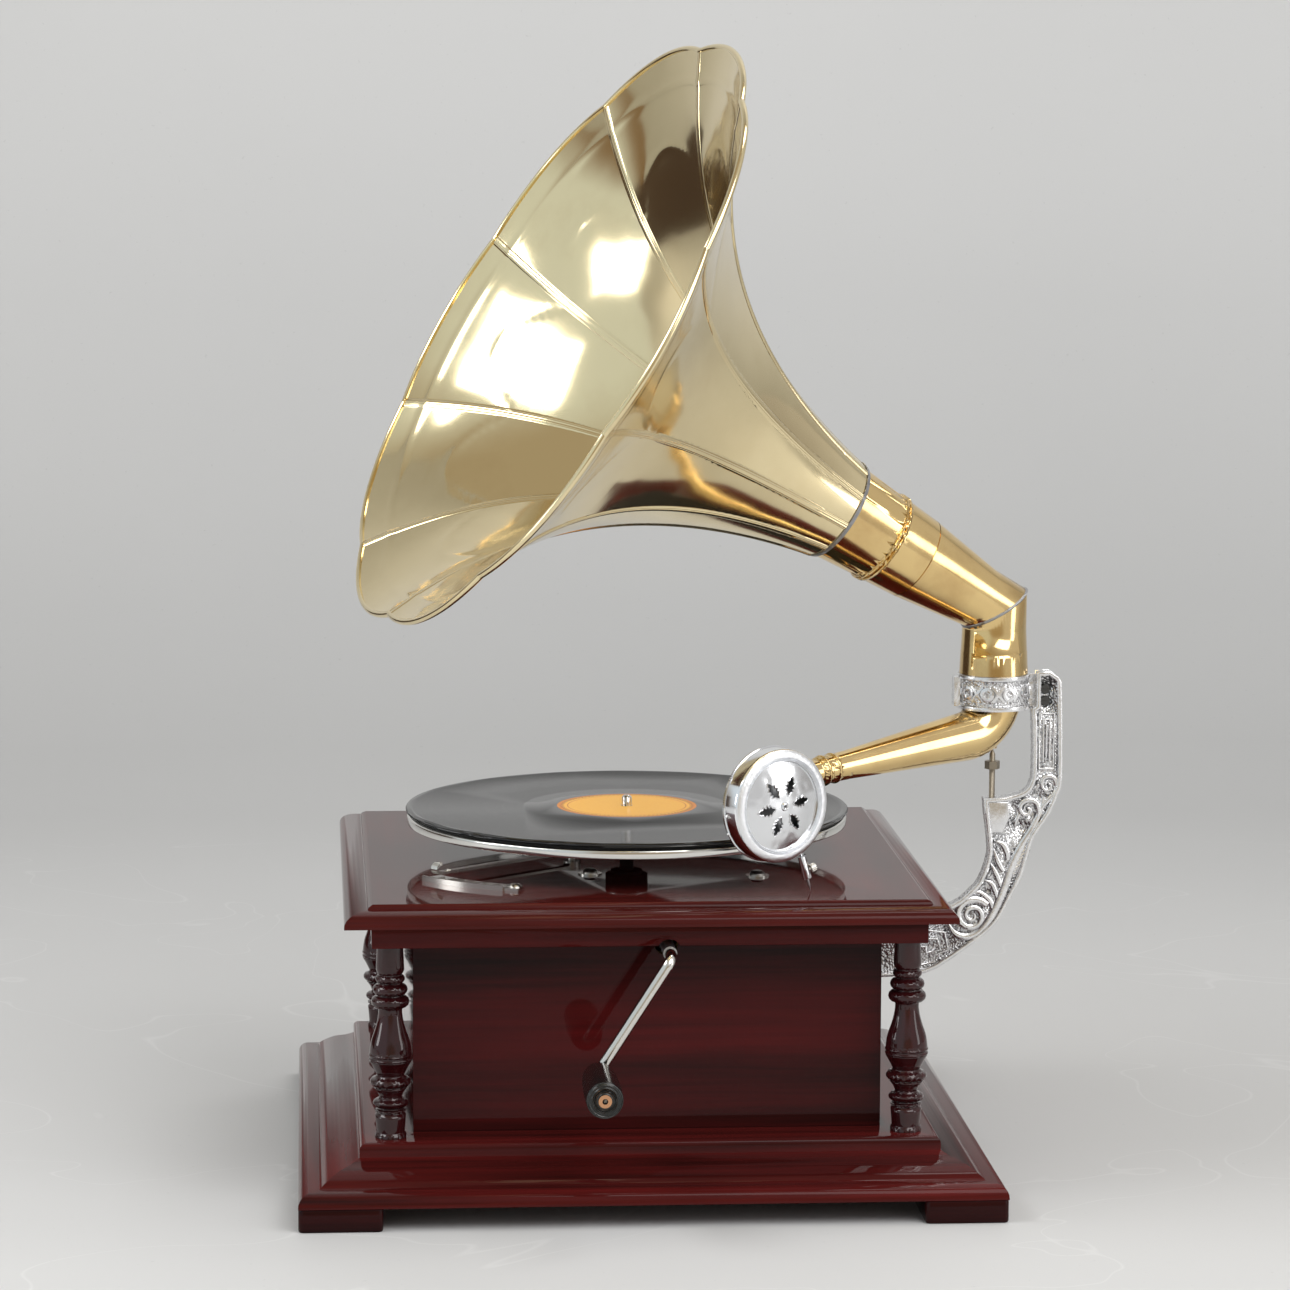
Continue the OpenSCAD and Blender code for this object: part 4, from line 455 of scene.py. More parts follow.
platter_metal = painted_shade_within("turntable metal", (0.74, 0.73, 0.70), (0.03, 0.03, 0.03),
                            PLATTER_EDGE, UNDERSIDE)
spindle_metal = painted_shade_within("spindle metal", (0.72, 0.72, 0.73), (0.05, 0.05, 0.05),
                            HUB_R, UNDERSIDE)


def crank_finish(name, colour, rough, end_colour, ringed, metallic):
    """The crank's finish, with other colour and turned rings on the face at its outer end, and a hole there
    painted dark as shade.
    """
    m, tree, shader = new_finish(name, Metallic=metallic, Roughness=rough)
    place = axes(tree, move=(-GRIP_AXIS[0], 0.0, -GRIP_AXIS[1]))
    out = put(tree, "ShaderNodeCombineXYZ", {"X": place["X"], "Y": place["Z"]}).outputs[0]
    r = put(tree, "ShaderNodeVectorMath", {0: out}, operation="LENGTH").outputs["Value"]
    at_end = maths(tree, "LESS_THAN", place["Y"], GRIP_FACE)
    worn = mix(tree, at_end, colour, end_colour)
    # painted shade: a near-black disc in the middle of the end face stands for the shade inside the hole
    painted_bore_shade = maths(tree, "MULTIPLY", at_end, maths(tree, "LESS_THAN", r, BORE_R))
    tree.links.new(mix(tree, painted_bore_shade, worn, (0.004, 0.003, 0.003)), shader.inputs["Base Color"])
    cloud = noise(tree, object_place(tree), 300.0, 4.0, 0.6)
    tree.links.new(maths(tree, "MULTIPLY_ADD", cloud, 0.12, rough - 0.04), shader.inputs["Roughness"])
    waves = maths(tree, "SINE", maths(tree, "MULTIPLY", r, 2 * math.pi / TURNING))
    rings = maths(tree, "MULTIPLY", waves, at_end)
    faint = maths(tree, "MULTIPLY", cloud, 0.1)
    bumps(tree, shader, maths(tree, "MULTIPLY_ADD", rings, ringed, faint), 0.0004)
    return m


rod_and_core = crank_finish("nickel with copper core", (0.72, 0.70, 0.66), 0.12, (0.62, 0.33, 0.18),
                            ringed=0.0, metallic=1.0)
grip_lacquer = crank_finish("black lacquer, turned", (0.008, 0.008, 0.008), 0.2, (0.010, 0.011, 0.010),
                            ringed=0.6, metallic=0.0)
shellac_black = shellac()
paper_orange = label_paper()
felt = plain("black felt", (0.012, 0.012, 0.012), 0.95, grain=1500.0, height=0.0003, Sheen_Weight=0.4)
rubber = plain("black rubber", (0.012, 0.012, 0.012), 0.6)
print("other finishes made, materials:", len(bpy.data.materials))


# %% [markdown]
# ## Smooth copies of the solid pieces
# The solid model's meshes are loose triangles. For a polished look each visible piece is copied, its points
# are merged, sharp edges are kept sharp and round ones shaded smooth, and on some pieces a small bevel
# catches the light along edges, as on any real piece.

# %% Helpers that dress a node
def merged_copy(node, flatten=False):
    """A copy of a solid piece with its loose points merged, and its flat faces joined if asked."""
    piece = add_object(node + "_dressed", NODES[node].data.copy())
    select_only(piece)
    bpy.ops.object.mode_set(mode="EDIT")
    bpy.ops.mesh.select_all(action="SELECT")
    bpy.ops.mesh.remove_doubles(threshold=MERGE)
    if flatten:
        bpy.ops.mesh.dissolve_limited(angle_limit=math.radians(FLAT), delimit={"SHARP"})
    bpy.ops.object.mode_set(mode="OBJECT")
    return piece


def apply_modifier(o, kind, **settings):
    select_only(o)
    m = o.modifiers.new("step", kind)
    for key, value in settings.items():
        setattr(m, key, value)
    bpy.ops.object.modifier_apply(modifier="step")


def soften(o, width, segments, angle):
    """Rounds the edges where faces turn by more than the angle."""
    apply_modifier(o, "BEVEL", width=width, segments=segments, limit_method="ANGLE",
                   angle_limit=math.radians(angle), use_clamp_overlap=True)


def shade_smooth(angle):
    bpy.ops.object.shade_smooth_by_angle(angle=math.radians(angle))


def finish_piece(piece, finish, slot, body, *nodes):
    """Gives a piece its material and its body, and hides the solid pieces that it stands for."""
    piece.data.materials.clear()
    piece.data.materials.append(finish)
    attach(piece, body)
    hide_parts(*nodes)


def smooth_copy(node, finish, slot, angle=32.0, bevel=0.0):
    """A merged, smooth-shaded copy of one solid piece, standing in for it."""
    piece = merged_copy(node, flatten=True)
    if bevel:
        soften(piece, bevel, 2, 40)
    shade_smooth(angle)
    finish_piece(piece, finish, slot, NODES[node]["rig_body"], node)


def keep_node(node, finish):
    """Leaves a solid piece as it is and gives it its finish."""
    o = NODES[node]
    o.data.materials.clear()
    o.data.materials.append(finish)


# %% Dress the case
CORNERS = ("front_left", "front_right", "back_left", "back_right")
for corner in CORNERS:
    smooth_copy("foot_" + corner, wood_dark, "mahogany_dark", bevel=0.0012)
smooth_copy("plinth_moulding", wood_frame, "mahogany", angle=28)
smooth_copy("base_board", wood_dark, "mahogany_dark")
for side, wood in (("front", wood_front), ("back", wood_front), ("left", wood_side), ("right", wood_side)):
    smooth_copy("panel_" + side, wood, "mahogany")
for corner in CORNERS:
    smooth_copy("column_" + corner, wood_turned, "mahogany", angle=42)
smooth_copy("frieze_rail", wood_frame, "mahogany", bevel=0.0004)
smooth_copy("lid", wood_lid, "mahogany", angle=25)
print("case dressed")

# %% Dress the turntable, tonearm and crank
smooth_copy("record", shellac_black, "shellac", angle=30)
smooth_copy("record_label", paper_orange, "paper_label")
smooth_copy("felt_mat", felt, "felt")
smooth_copy("platter", platter_metal, "steel", bevel=0.0003)
smooth_copy("spindle", spindle_metal, "steel")
smooth_copy("tonearm", brass_arm, "plated_brass", angle=40)
smooth_copy("gooseneck", brass_arm, "plated_brass", angle=40)
smooth_copy("crank_rod", rod_and_core, "nickel", angle=40)
smooth_copy("crank_grip", grip_lacquer, "black_lacquer", angle=35)
smooth_copy("winding_shaft", steel, "steel")
smooth_copy("horn_elbow", brass_pipe, "horn_brass", angle=40)
smooth_copy("horn_neck", brass_pipe, "horn_brass", angle=35)
smooth_copy("elbow_solder", solder, "solder", angle=40)
smooth_copy("collar", cast_collar, "cast_metal", bevel=0.0003)
smooth_copy("needle_holder", chrome, "chrome", angle=30)
for name in ("pivot_rod", "pivot_nut"):
    smooth_copy(name, rod_metal, "nickel", angle=30)
smooth_copy("needle_screw", nickel, "nickel", angle=30)
for name in ("bracket_screws", "collar_screws"):
    smooth_copy(name, black_screw, "screw_steel", angle=30)
smooth_copy("motor_screws", screw_metal, "screw_steel", angle=30)
for name in ("screw_washers", "scale_plate", "speed_lever"):
    smooth_copy(name, nickel, "gear_brass", angle=30)
print("turntable, arm and crank dressed")

# %% Give the hidden works their finishes
for name in ("great_wheel", "crown_wheel", "spring_barrel", "shaft_bearings", "governor_weights"):
    keep_node(name, gear_brass)
for name in ("mainspring", "barrel_arbor", "motor_plates", "motor_pillars", "governor_shaft", "diaphragm",
             "needle"):
    keep_node(name, steel)
for name in ("gaskets", "rubber_spacers", "brake_pad"):
    keep_node(name, rubber)
print("works finished")


# %% [markdown]
# ## The bracket's casting
# The solid model's bracket carries a plain version of the ornament. The field between the raised borders is
# milled down to the ground on both faces with a cutter, so that the real ornament can be laid on it. The
# cutter has the bracket's own outline, moved inwards by the width of the border.

# %% Helpers for the casting
GROUND = 3.12          # mm from the middle of the casting to the sunk ground
FACE = 4.5             # and to the top of the border
MILLED = 2.55          # width of the border that the cutter leaves
FULLNESS = 1.18        # the strands as cast are this much wider than their drawn lines
LOWER_EDGE = [(127, 95.6), (145, 96.1), (168, 98.2), (186, 108.6), (202, 120.4), (209.6, 128.5), (216, 140.6),
              (222.5, 153.6), (226.3, 166.8), (229.3, 176.4), (237.9, 189.2), (242.7, 201), (244.8, 210.2),
              (244.3, 247.6), (243.6, 265.9)]
POST_TOP = [(242.1, 268.1), (237.3, 271.7), (229.5, 271.3), (229.5, 251.6)]
POST_EDGE = [(226.9, 250), (227.7, 236.8), (227.9, 215.5), (226.9, 208.1), (223.1, 202.6), (212.6, 199.3)]
UPPER_EDGE = [(200.9, 189.6), (203.1, 171), (202.4, 163.3), (198.5, 152.3), (193.5, 146), (183.2, 138),
              (165, 134.6), (145, 138.6), (127, 142.1)]


def smooth_line(points, steps=7):
    """A Catmull-Rom curve through points of any number of values."""
    p = [np.array(q, float) for q in points]
    out = []
    for i in range(len(p) - 1):
        a, b, c, d = p[max(i - 1, 0)], p[i], p[i + 1], p[min(i + 2, len(p) - 1)]
        for j in range(steps):
            t = j / steps
            out.append(0.5 * (2 * b + (c - a) * t + (2 * a - 5 * b + 4 * c - d) * t ** 2
                              + (3 * b - a - 3 * c + d) * t ** 3))
    return out + [p[-1]]


def inset(points, w):
    """The closed outline moved inwards by w, with mitred corners."""
    out = []
    for i, p in enumerate(points):
        before, after = p - points[i - 1], points[(i + 1) % len(points)] - p
        a, b = (np.array((-v[1], v[0])) / math.hypot(*v) for v in (before, after))
        out.append(p + w * (a + b) / (1 + a @ b))
    return out


def slab(name, points, y0, y1):
    """A flat plate with the outline given, in mm on the XZ plane, between y0 and y1."""
    y0, y1 = sorted((y0, y1))
    clear_selection()
    bpy.ops.mesh.primitive_circle_add(vertices=len(points), radius=1.0, fill_type="NGON")
    o = bpy.context.object
    o.name = name
    for v, (x, z) in zip(o.data.vertices, points):
        v.co = (x * MM, y0 * MM, z * MM)
    bpy.ops.object.mode_set(mode="EDIT")
    bpy.ops.mesh.select_all(action="SELECT")
    bpy.ops.mesh.extrude_region_move(TRANSFORM_OT_translate={"value": (0, (y1 - y0) * MM, 0)})
    bpy.ops.mesh.select_all(action="SELECT")
    bpy.ops.mesh.normals_make_consistent(inside=False)
    bpy.ops.object.mode_set(mode="OBJECT")
    return o


def cut_away(o, cutter):
    apply_modifier(o, "BOOLEAN", operation="DIFFERENCE", object=cutter, solver="EXACT")
    bpy.data.objects.remove(cutter)


def round_strip(name, points, radii, depth, closed=False):
    """A mesh strip, round across, through points in metres; a point's radius is multiplied by depth."""
    curve = bpy.data.curves.new(name, "CURVE")
    curve.dimensions = "3D"
    curve.bevel_depth = depth
    curve.bevel_resolution = 2
    curve.use_fill_caps = not closed
    spline = curve.splines.new("POLY")
    spline.points.add(len(points) - 1)
    spline.use_cyclic_u = closed
    for point, place, radius in zip(spline.points, points, radii):
        point.co = (*place, 1.0)
        point.radius = radius
    select_only(add_object(name, curve))
    bpy.ops.object.convert(target="MESH")
    return bpy.context.object


def join(pieces, name):
    clear_selection()
    for p in pieces:
        p.select_set(True)
    bpy.context.view_layer.objects.active = pieces[0]
    bpy.ops.object.join()
    bpy.context.object.name = name
    return bpy.context.object


# %% Mill the field of the bracket
casting = merged_copy("bracket")
edge = [np.array(p, float) for p in (smooth_line(LOWER_EDGE, 3) + POST_TOP + smooth_line(POST_EDGE, 3)
                                     + [(200.2, 198.6)] + smooth_line(UPPER_EDGE, 3))]
for side in (-1, 1):
    cut_away(casting, slab("cutter", inset(edge, MILLED), side * GROUND, side * 6.0))
soften(casting, 0.0005, 2, 50)
print("casting:", len(casting.data.vertices), "points")

# %% [markdown]
# ## The bracket's ornament
# Both faces carry a leafy branch in low relief: a stem that rolls into a large scroll at the bottom and two
# small ones above, with curved blades along it, a ribbed leaf, a row of beads inside the lower edge and a
# square key pattern at each end. A pattern maker lays such lines as strips that are thick in the middle and
# thin at the tips. Here each line is a curve with a round bevel that follows the strip's width, turned into
# a mesh and pressed flat against the ground.

# %% Lay the strands of the ornament
STEM = [
    (234.6, 199.4, 2.4), (233.4, 192.7, 2.8), (230.6, 186.1, 3.4), (227.1, 179.1, 4.0), (222.8, 172.2, 4.4),
    (219.0, 165.0, 4.6), (216.0, 157.7, 4.6), (213.5, 149.7, 4.8), (210.7, 141.8, 5.0), (207.2, 133.9, 5.2),
    (202.8, 125.9, 5.2), (197.2, 120.4, 4.8), (190.6, 118.6, 4.2), (184.6, 120.8, 3.4), (181.0, 126.1, 1.6)]
BRANCHES = [
    [(230.9, 186.7, 2.2), (231.9, 190.0, 2.6), (230.8, 195.3, 3.0), (226.8, 197.6, 3.0), (222.6, 196.2, 2.8),
     (221.0, 192.8, 2.6), (223.0, 189.3, 2.4), (226.1, 189.6, 2.2), (226.9, 191.8, 2.0), (225.3, 193.0, 1.8)],
    [(233.4, 192.7, 2.4), (236.9, 197.2, 2.8), (240.9, 201.2, 3.0), (242.0, 205.8, 3.0), (240.4, 210.0, 2.8),
     (237.3, 211.2, 2.6), (234.1, 209.6, 2.4), (233.4, 205.9, 2.2), (235.2, 203.2, 2.0), (238.1, 203.6, 1.9),
     (238.6, 205.7, 1.8), (237.4, 206.8, 1.6)],
    [(220.6, 189.5, 2.4), (218.9, 185.5, 2.2), (218.4, 181.6, 1.0)]]
BLADES = [
    [(214.4, 163.0, 2.6), (213.8, 167.7, 3.6), (211.3, 172.1, 3.2), (206.4, 174.2, 0.8)],
    [(212.1, 156.4, 2.4), (210.0, 159.6, 3.2), (207.8, 164.4, 2.8), (206.1, 170.4, 0.7)],
    [(210.6, 147.8, 2.4), (209.0, 152.4, 3.2), (206.8, 157.1, 2.8), (204.7, 161.4, 0.7)],
    [(208.8, 140.5, 2.4), (207.4, 145.2, 3.2), (205.1, 149.6, 2.8), (200.6, 151.6, 0.7)],
    [(206.2, 133.5, 2.6), (205.2, 138.3, 3.4), (201.6, 142.4, 3.0), (197.4, 144.6, 2.2), (193.0, 143.4, 0.7)]]
LEAF = [
    (216.6, 152.4, 0.8), (219.0, 156.6, 4.0), (221.9, 163.0, 6.0), (224.6, 170.0, 5.0), (226.6, 176.6, 0.8)]
KEY_POST = [
    [(231.4, 215.6), (239.8, 215.6), (239.8, 247.4), (231.4, 247.4), (231.4, 215.6), (239.8, 215.6)],
    [(237.4, 219.4), (237.4, 244.0), (233.8, 244.0), (233.8, 219.4)],
    [(235.6, 222.0), (235.6, 240.8)]]
KEY_WALL = [
    [(156.0, 124.6), (178.7, 121.5), (180.8, 111.5), (173.4, 108.6)],
    [(156.0, 118.8), (174.6, 117.6), (176.4, 111.6), (168.3, 109.6), (168.0, 113.4), (156.0, 113.6)],
    [(150.0, 108.6), (164.0, 108.0), (164.6, 102.6), (174.0, 104.6)]]


def strand(points, height, base=GROUND, smooth=True):
    """A round-topped strip of the widths given on the front of the ground, its top height mm above it."""
    line = smooth_line(points) if smooth else [np.array(p, float) for p in points]
    line = [np.array((x, z, w * FULLNESS)) for x, z, w in line]
    widest = max(p[2] for p in line)
    places = [(x * MM, 0.0, z * MM) for x, z, w in line]
    o = round_strip("strand", places, [w / 2 * MM for x, z, w in line], 1.0)
    for v in o.data.vertices:
        share = v.co.y / (widest / 2 * MM)
        v.co.y = -(base - math.copysign(height * abs(share) ** 0.65, share)) * MM
    return o


def spiral(x, z, r, r_end, start, turns, wide, wide_end):
    """Points of a strip that winds inwards."""
    steps = int(turns * 18)
    line = []
    for i in range(steps + 1):
        t = i / steps
        a = math.radians(start + 360 * turns * t)
        q = r + (r_end - r) * t ** 0.85
        line.append((x + q * math.cos(a), z + q * math.sin(a), wide + (wide_end - wide) * t))
    return line


strands = [strand(STEM, 1.45)] + [strand(b, 1.3) for b in BRANCHES] + [strand(b, 1.35) for b in BLADES]
strands += [strand(LEAF, 0.9), strand(spiral(194.3, 131.0, 10.4, 1.6, 35, 1.9, 4.2, 2.2), 1.4, smooth=False)]
strands += [strand([(x, z, 1.3) for x, z in line], 1.2, smooth=False) for line in KEY_POST + KEY_WALL]
for x, z, w in smooth_line(LEAF, 3)[2:-2]:
    rib = [(x - w * 0.42, z - w * 0.1, 0.5), (x, z + w * 0.1, 1.1), (x + w * 0.42, z + w * 0.45, 0.5)]
    strands.append(strand(rib, 1.2))
print("strands:", len(strands))

# %% Lay the border's round and the row of beads
BORDER_MIDDLE, BORDER_WIDE, BORDER_RISE = 1.25, 2.1, 0.42      # mm
BEADS_IN, BEAD_STEP, BEAD_R = 3.9, 1.9, 0.75
border = inset(edge, BORDER_MIDDLE)
border_line = [(*p, BORDER_WIDE) for p in border + border[:1]]
strands.append(strand(border_line, BORDER_RISE, base=FACE - 0.1, smooth=False))
row = inset(edge, BEADS_IN)[1:3 * (len(LOWER_EDGE) - 2)]
travel = 0.0
for a, b in zip(row, row[1:]):
    length = math.hypot(*(b - a))
    while travel < length:
        x, z = a + (b - a) * travel / length
        clear_selection()
        bpy.ops.mesh.primitive_ico_sphere_add(subdivisions=2, radius=BEAD_R * MM, location=(0, 0, 0))
        bead = bpy.context.object
        for v in bead.data.vertices:
            v.co += Vector((x * MM, -(GROUND + 0.05) * MM, z * MM))
        strands.append(bead)
        travel += BEAD_STEP
    travel -= length
ornament = join(strands, "ornament")
print("ornament:", len(ornament.data.vertices), "points")

# %% Cast the bracket in one piece
back = add_object("ornament_back", ornament.data.copy())
for v in back.data.vertices:
    v.co.y = -v.co.y
back.data.flip_normals()
SHELF_PANEL = [(202.5, 196.8), (214.3, 196.6), (215.3, 187.8), (211.3, 178.8), (204.5, 178.8)]
panels = []
for side in (-1, 1):
    panels.append(slab("shelf_panel", SHELF_PANEL, side * 2.8, side * 4.3))
    soften(panels[-1], 0.0006, 3, 30)
bracket = join([casting, ornament, back] + panels, "bracket_cast")
shade_smooth(50)
finish_piece(bracket, cast_bracket, "cast_metal", NODES["bracket"]["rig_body"], "bracket")
print("bracket:", len(bracket.data.vertices), "points,", len(bracket.data.polygons), "faces")


# %% [markdown]
# ## The soundbox
# The soundbox is turned and pressed sheet: a drum with a hammered face ring and a fine double ring inside it,
# a domed grille with six oak-leaf openings whose edges are raised, and a back plate with a knurled rim. The
# turned shapes are flat grids wrapped round the axis: each row of a grid is one point of the profile.

# %% Helper for turned pieces
ARM_TURN, BOX_AT = 211.6, (0.1888, 0.0446, 0.218522)    # degrees, and the soundbox's middle on the arm
SOUNDBOX = (Matrix.Translation((COLLAR_X, 0.0, 0.0)) @ turned_by(ARM_TURN, "Z")
            @ Matrix.Translation(BOX_AT) @ turned_by(180, "Z") @ turned_by(90, "X"))


def turned(name, profile, frame_matrix, segments=128, knurl=(), depth=0.0):
    """Wraps a closed profile of (radius, height) in mm round the frame's Z axis; knurl rows get teeth."""
    clear_selection()
    ring = list(profile) + [profile[0]]
    bpy.ops.mesh.primitive_grid_add(x_subdivisions=segments, y_subdivisions=len(ring) - 1, size=2.0)
    o = bpy.context.object
    o.name = name
    for v in o.data.vertices:
        column = round((v.co.x + 1) / 2 * segments) % segments
        row = round((v.co.y + 1) / 2 * (len(ring) - 1)) % len(profile)
        r, z = profile[row]
        if row in knurl and column % 2:
            r -= depth
        a = 2 * math.pi * column / segments
        v.co = frame_matrix @ Vector((r * math.cos(a) * MM, r * math.sin(a) * MM, z * MM))
    bpy.ops.object.mode_set(mode="EDIT")
    bpy.ops.mesh.select_all(action="SELECT")
    bpy.ops.mesh.remove_doubles(threshold=FINE_MERGE)
    bpy.ops.mesh.normals_make_consistent(inside=False)
    bpy.ops.object.mode_set(mode="OBJECT")
    shade_smooth(35)
    return o


# %% Turn the drum and the back plate
R = 31.25                           # mm, the soundbox's radius
BAR_AT, SLOT_HALF = -56.45, 3.4     # where the needle's bar goes through the drum, in degrees and mm
drum = turned("soundbox_drum", [
    (R - 5, -4.5), (R - 0.4, -4.5), (R - 0.4, 3.4), (R - 0.6, 4.6), (R - 1.3, 5.6), (R - 2.4, 6.2),
    (R - 3.8, 6.5), (R - 5.0, 6.4), (R - 5.35, 5.5), (R - 5.8, 6.4), (R - 6.15, 5.5), (R - 6.5, 6.2),
    (R - 6.9, 5.6), (R - 7.0, 2.8), (R - 5, 2.8)], SOUNDBOX)
slot = slab("slot", [(-9, -SLOT_HALF), (3, -SLOT_HALF), (3, SLOT_HALF), (-9, SLOT_HALF)], -3.0, 4.2)
slot.data.transform(SOUNDBOX @ turned_by(BAR_AT, "Z") @ Matrix.Translation((R * MM, 0, 0))
                    @ turned_by(90, "X"))
cut_away(drum, slot)
finish_piece(drum, hammered, "chrome", "soundbox", "soundbox_shell")
flange = turned("soundbox_flange", [
    (6.78, -17.5), (8.55, -17.5), (8.55, -9.0), (10.25, -6.5), (R - 0.9, -6.5), (R + 0.3, -6.2),
    (R + 0.3, -5.0), (R - 0.5, -4.6), (R - 1, -4.5), (R - 5.2, -4.5), (R - 5.2, -2), (R - 7.2, -2),
    (R - 7.2, -4.5), (5.35, -4.5), (5.35, -8.9), (6.78, -8.9)],
    SOUNDBOX, segments=320, knurl=(5, 6), depth=0.28)
finish_piece(flange, chrome, "chrome", "soundbox", "soundbox_back")
print("drum:", len(drum.data.polygons), "flange:", len(flange.data.polygons), "faces")

# %% Press the grille
DISH, RISE, TOP = R - 7, 3.0, 7.5   # the grille's radius, how far it bulges, and its top's height
DOME = (DISH ** 2 + RISE ** 2) / (2 * RISE)         # radius of the sphere whose cap is the grille
LEAVES, FIRST_LEAF = 6, 9                           # and the first one's angle in degrees
EDGE_R, EDGE_MIDDLE, EDGE_LONG, EDGE_WIDE = 0.42, 11.5, 1.04, 1.12      # a leaf's edge lies just round it
LEAF_HALF = [(6.2, 0.0), (7.0, 0.9), (8.0, 1.0), (9.3, 2.6), (10.0, 1.5), (11.0, 2.9), (11.9, 1.6),
             (13.2, 2.5), (14.2, 1.1), (15.3, 1.3), (16.8, 0.0)]


def dome_height(r):
    return TOP - DOME + math.sqrt(DOME ** 2 - r * r)


steps = [0.9 + i / 12 * (DISH - 1.0) for i in range(13)]
outside = [(r, dome_height(r)) for r in steps]
grille = turned("soundbox_rosette", outside + [(r, z - 0.8) for r, z in reversed(outside)], SOUNDBOX)
leaf = LEAF_HALF + [(x, -y) for x, y in reversed(LEAF_HALF[1:-1])]
edges = []
for i in range(LEAVES):
    turn_leaf = turned_by(360 / LEAVES * i + FIRST_LEAF, "Z")
    cutter = slab("cutter", leaf, -16.0, 0.0)
    cutter.data.transform(SOUNDBOX @ turn_leaf @ turned_by(90, "X").inverted())
    cut_away(grille, cutter)
    line = [(EDGE_MIDDLE + (x - EDGE_MIDDLE) * EDGE_LONG, y * EDGE_WIDE) for x, y in leaf]
    line = [(x * MM, y * MM, (dome_height(math.hypot(x, y)) + 0.05) * MM) for x, y in line]
    edges.append(round_strip("leaf_edge", line, [1.0] * len(line), EDGE_R * MM, closed=True))
    edges[-1].data.transform(SOUNDBOX @ turn_leaf)
boss = turned("boss", [(0.95, 6.8), (1.0, 8.2), (1.3, 8.5), (1.9, 8.4), (2.3, 7.9), (2.6, 7.0), (2.6, 6.8)],
              SOUNDBOX, segments=48)
grille = join([grille, boss] + edges, "soundbox_rosette")
shade_smooth(40)
finish_piece(grille, pressed, "chrome", "soundbox", "soundbox_grille")
print("grille:", len(grille.data.polygons), "faces")


# %% [markdown]
# ## The horn's bell
# Ten tapered petals of thin sheet brass are joined edge to edge by folded seams, and the rim is rolled over
# a wire. A ready-made cone can't give this, so a flat grid is the sheet: one row of points for each place
# along a cut through the wall, out along the outside, over the rolled rim and back along the inside. Each
# point is then moved to its place on the flare, as a smith rolls and folds a blank.

# %% Roll the bell from a grid
HORN = Matrix.Translation((COLLAR_X, 0.0, 0.3079)) @ turned_by(195.5, "Z") @ turned_by(59.0, "Y")
NECK, BELL = 114.7, 197.0          # mm along the axis
THROAT, MOUTH, SHEET = 29.4, 175.3, 1.1
PETALS, SEAM_AT = 10, 1.8          # and the angle of the first seam, in degrees
LIP = 5.5                          # how far the middle of a petal's rim stands out past its seams
HOLLOW = 0.030                     # a petal's middle is nearer the axis by this share of the radius
CREASE, ARCH = 0.79, 0.095         # where the crease starts, and how far it arches, as shares of the length
DENT, DENT_WIDE = 0.30, 0.007      # the crease's depth in mm and its width
RIDGE, RIDGE_AT, RIDGE_WIDE = 0.40, 0.962, 0.005
WIRE = 1.8                         # radius of the rolled rim, which runs over these degrees
ROLL_FROM, ROLL_OVER = 205, 230
CLOSE_FROM = 0.76                  # the rows of points are closer together past this share of the length
# half of a folded seam, as (mm round from its middle, height)
SEAM = [(0.0, 0.50), (0.45, 0.80), (1.0, 0.80), (1.35, 0.48), (1.65, 0.60), (1.95, 0.50), (2.2, 0.0),
        (3.2, 0.0)]
STRAIGHT, GROWTH, POWER = 0.243, 1.287, 1.857       # the flare's straight share, and how the rest grows


def flare(u):
    """Radius of the seams' foot at the share u of the bell's length."""
    curved = (1 - STRAIGHT) * (np.exp(GROWTH * u ** POWER) - 1) / (math.exp(GROWTH) - 1)
    return THROAT + (MOUTH - THROAT) * (STRAIGHT * u + curved)


def slope(u):
    low, high = np.maximum(u - 0.01, 0), np.minimum(u + 0.01, 1)
    return np.arctan2(flare(high) - flare(low), BELL * (high - low))


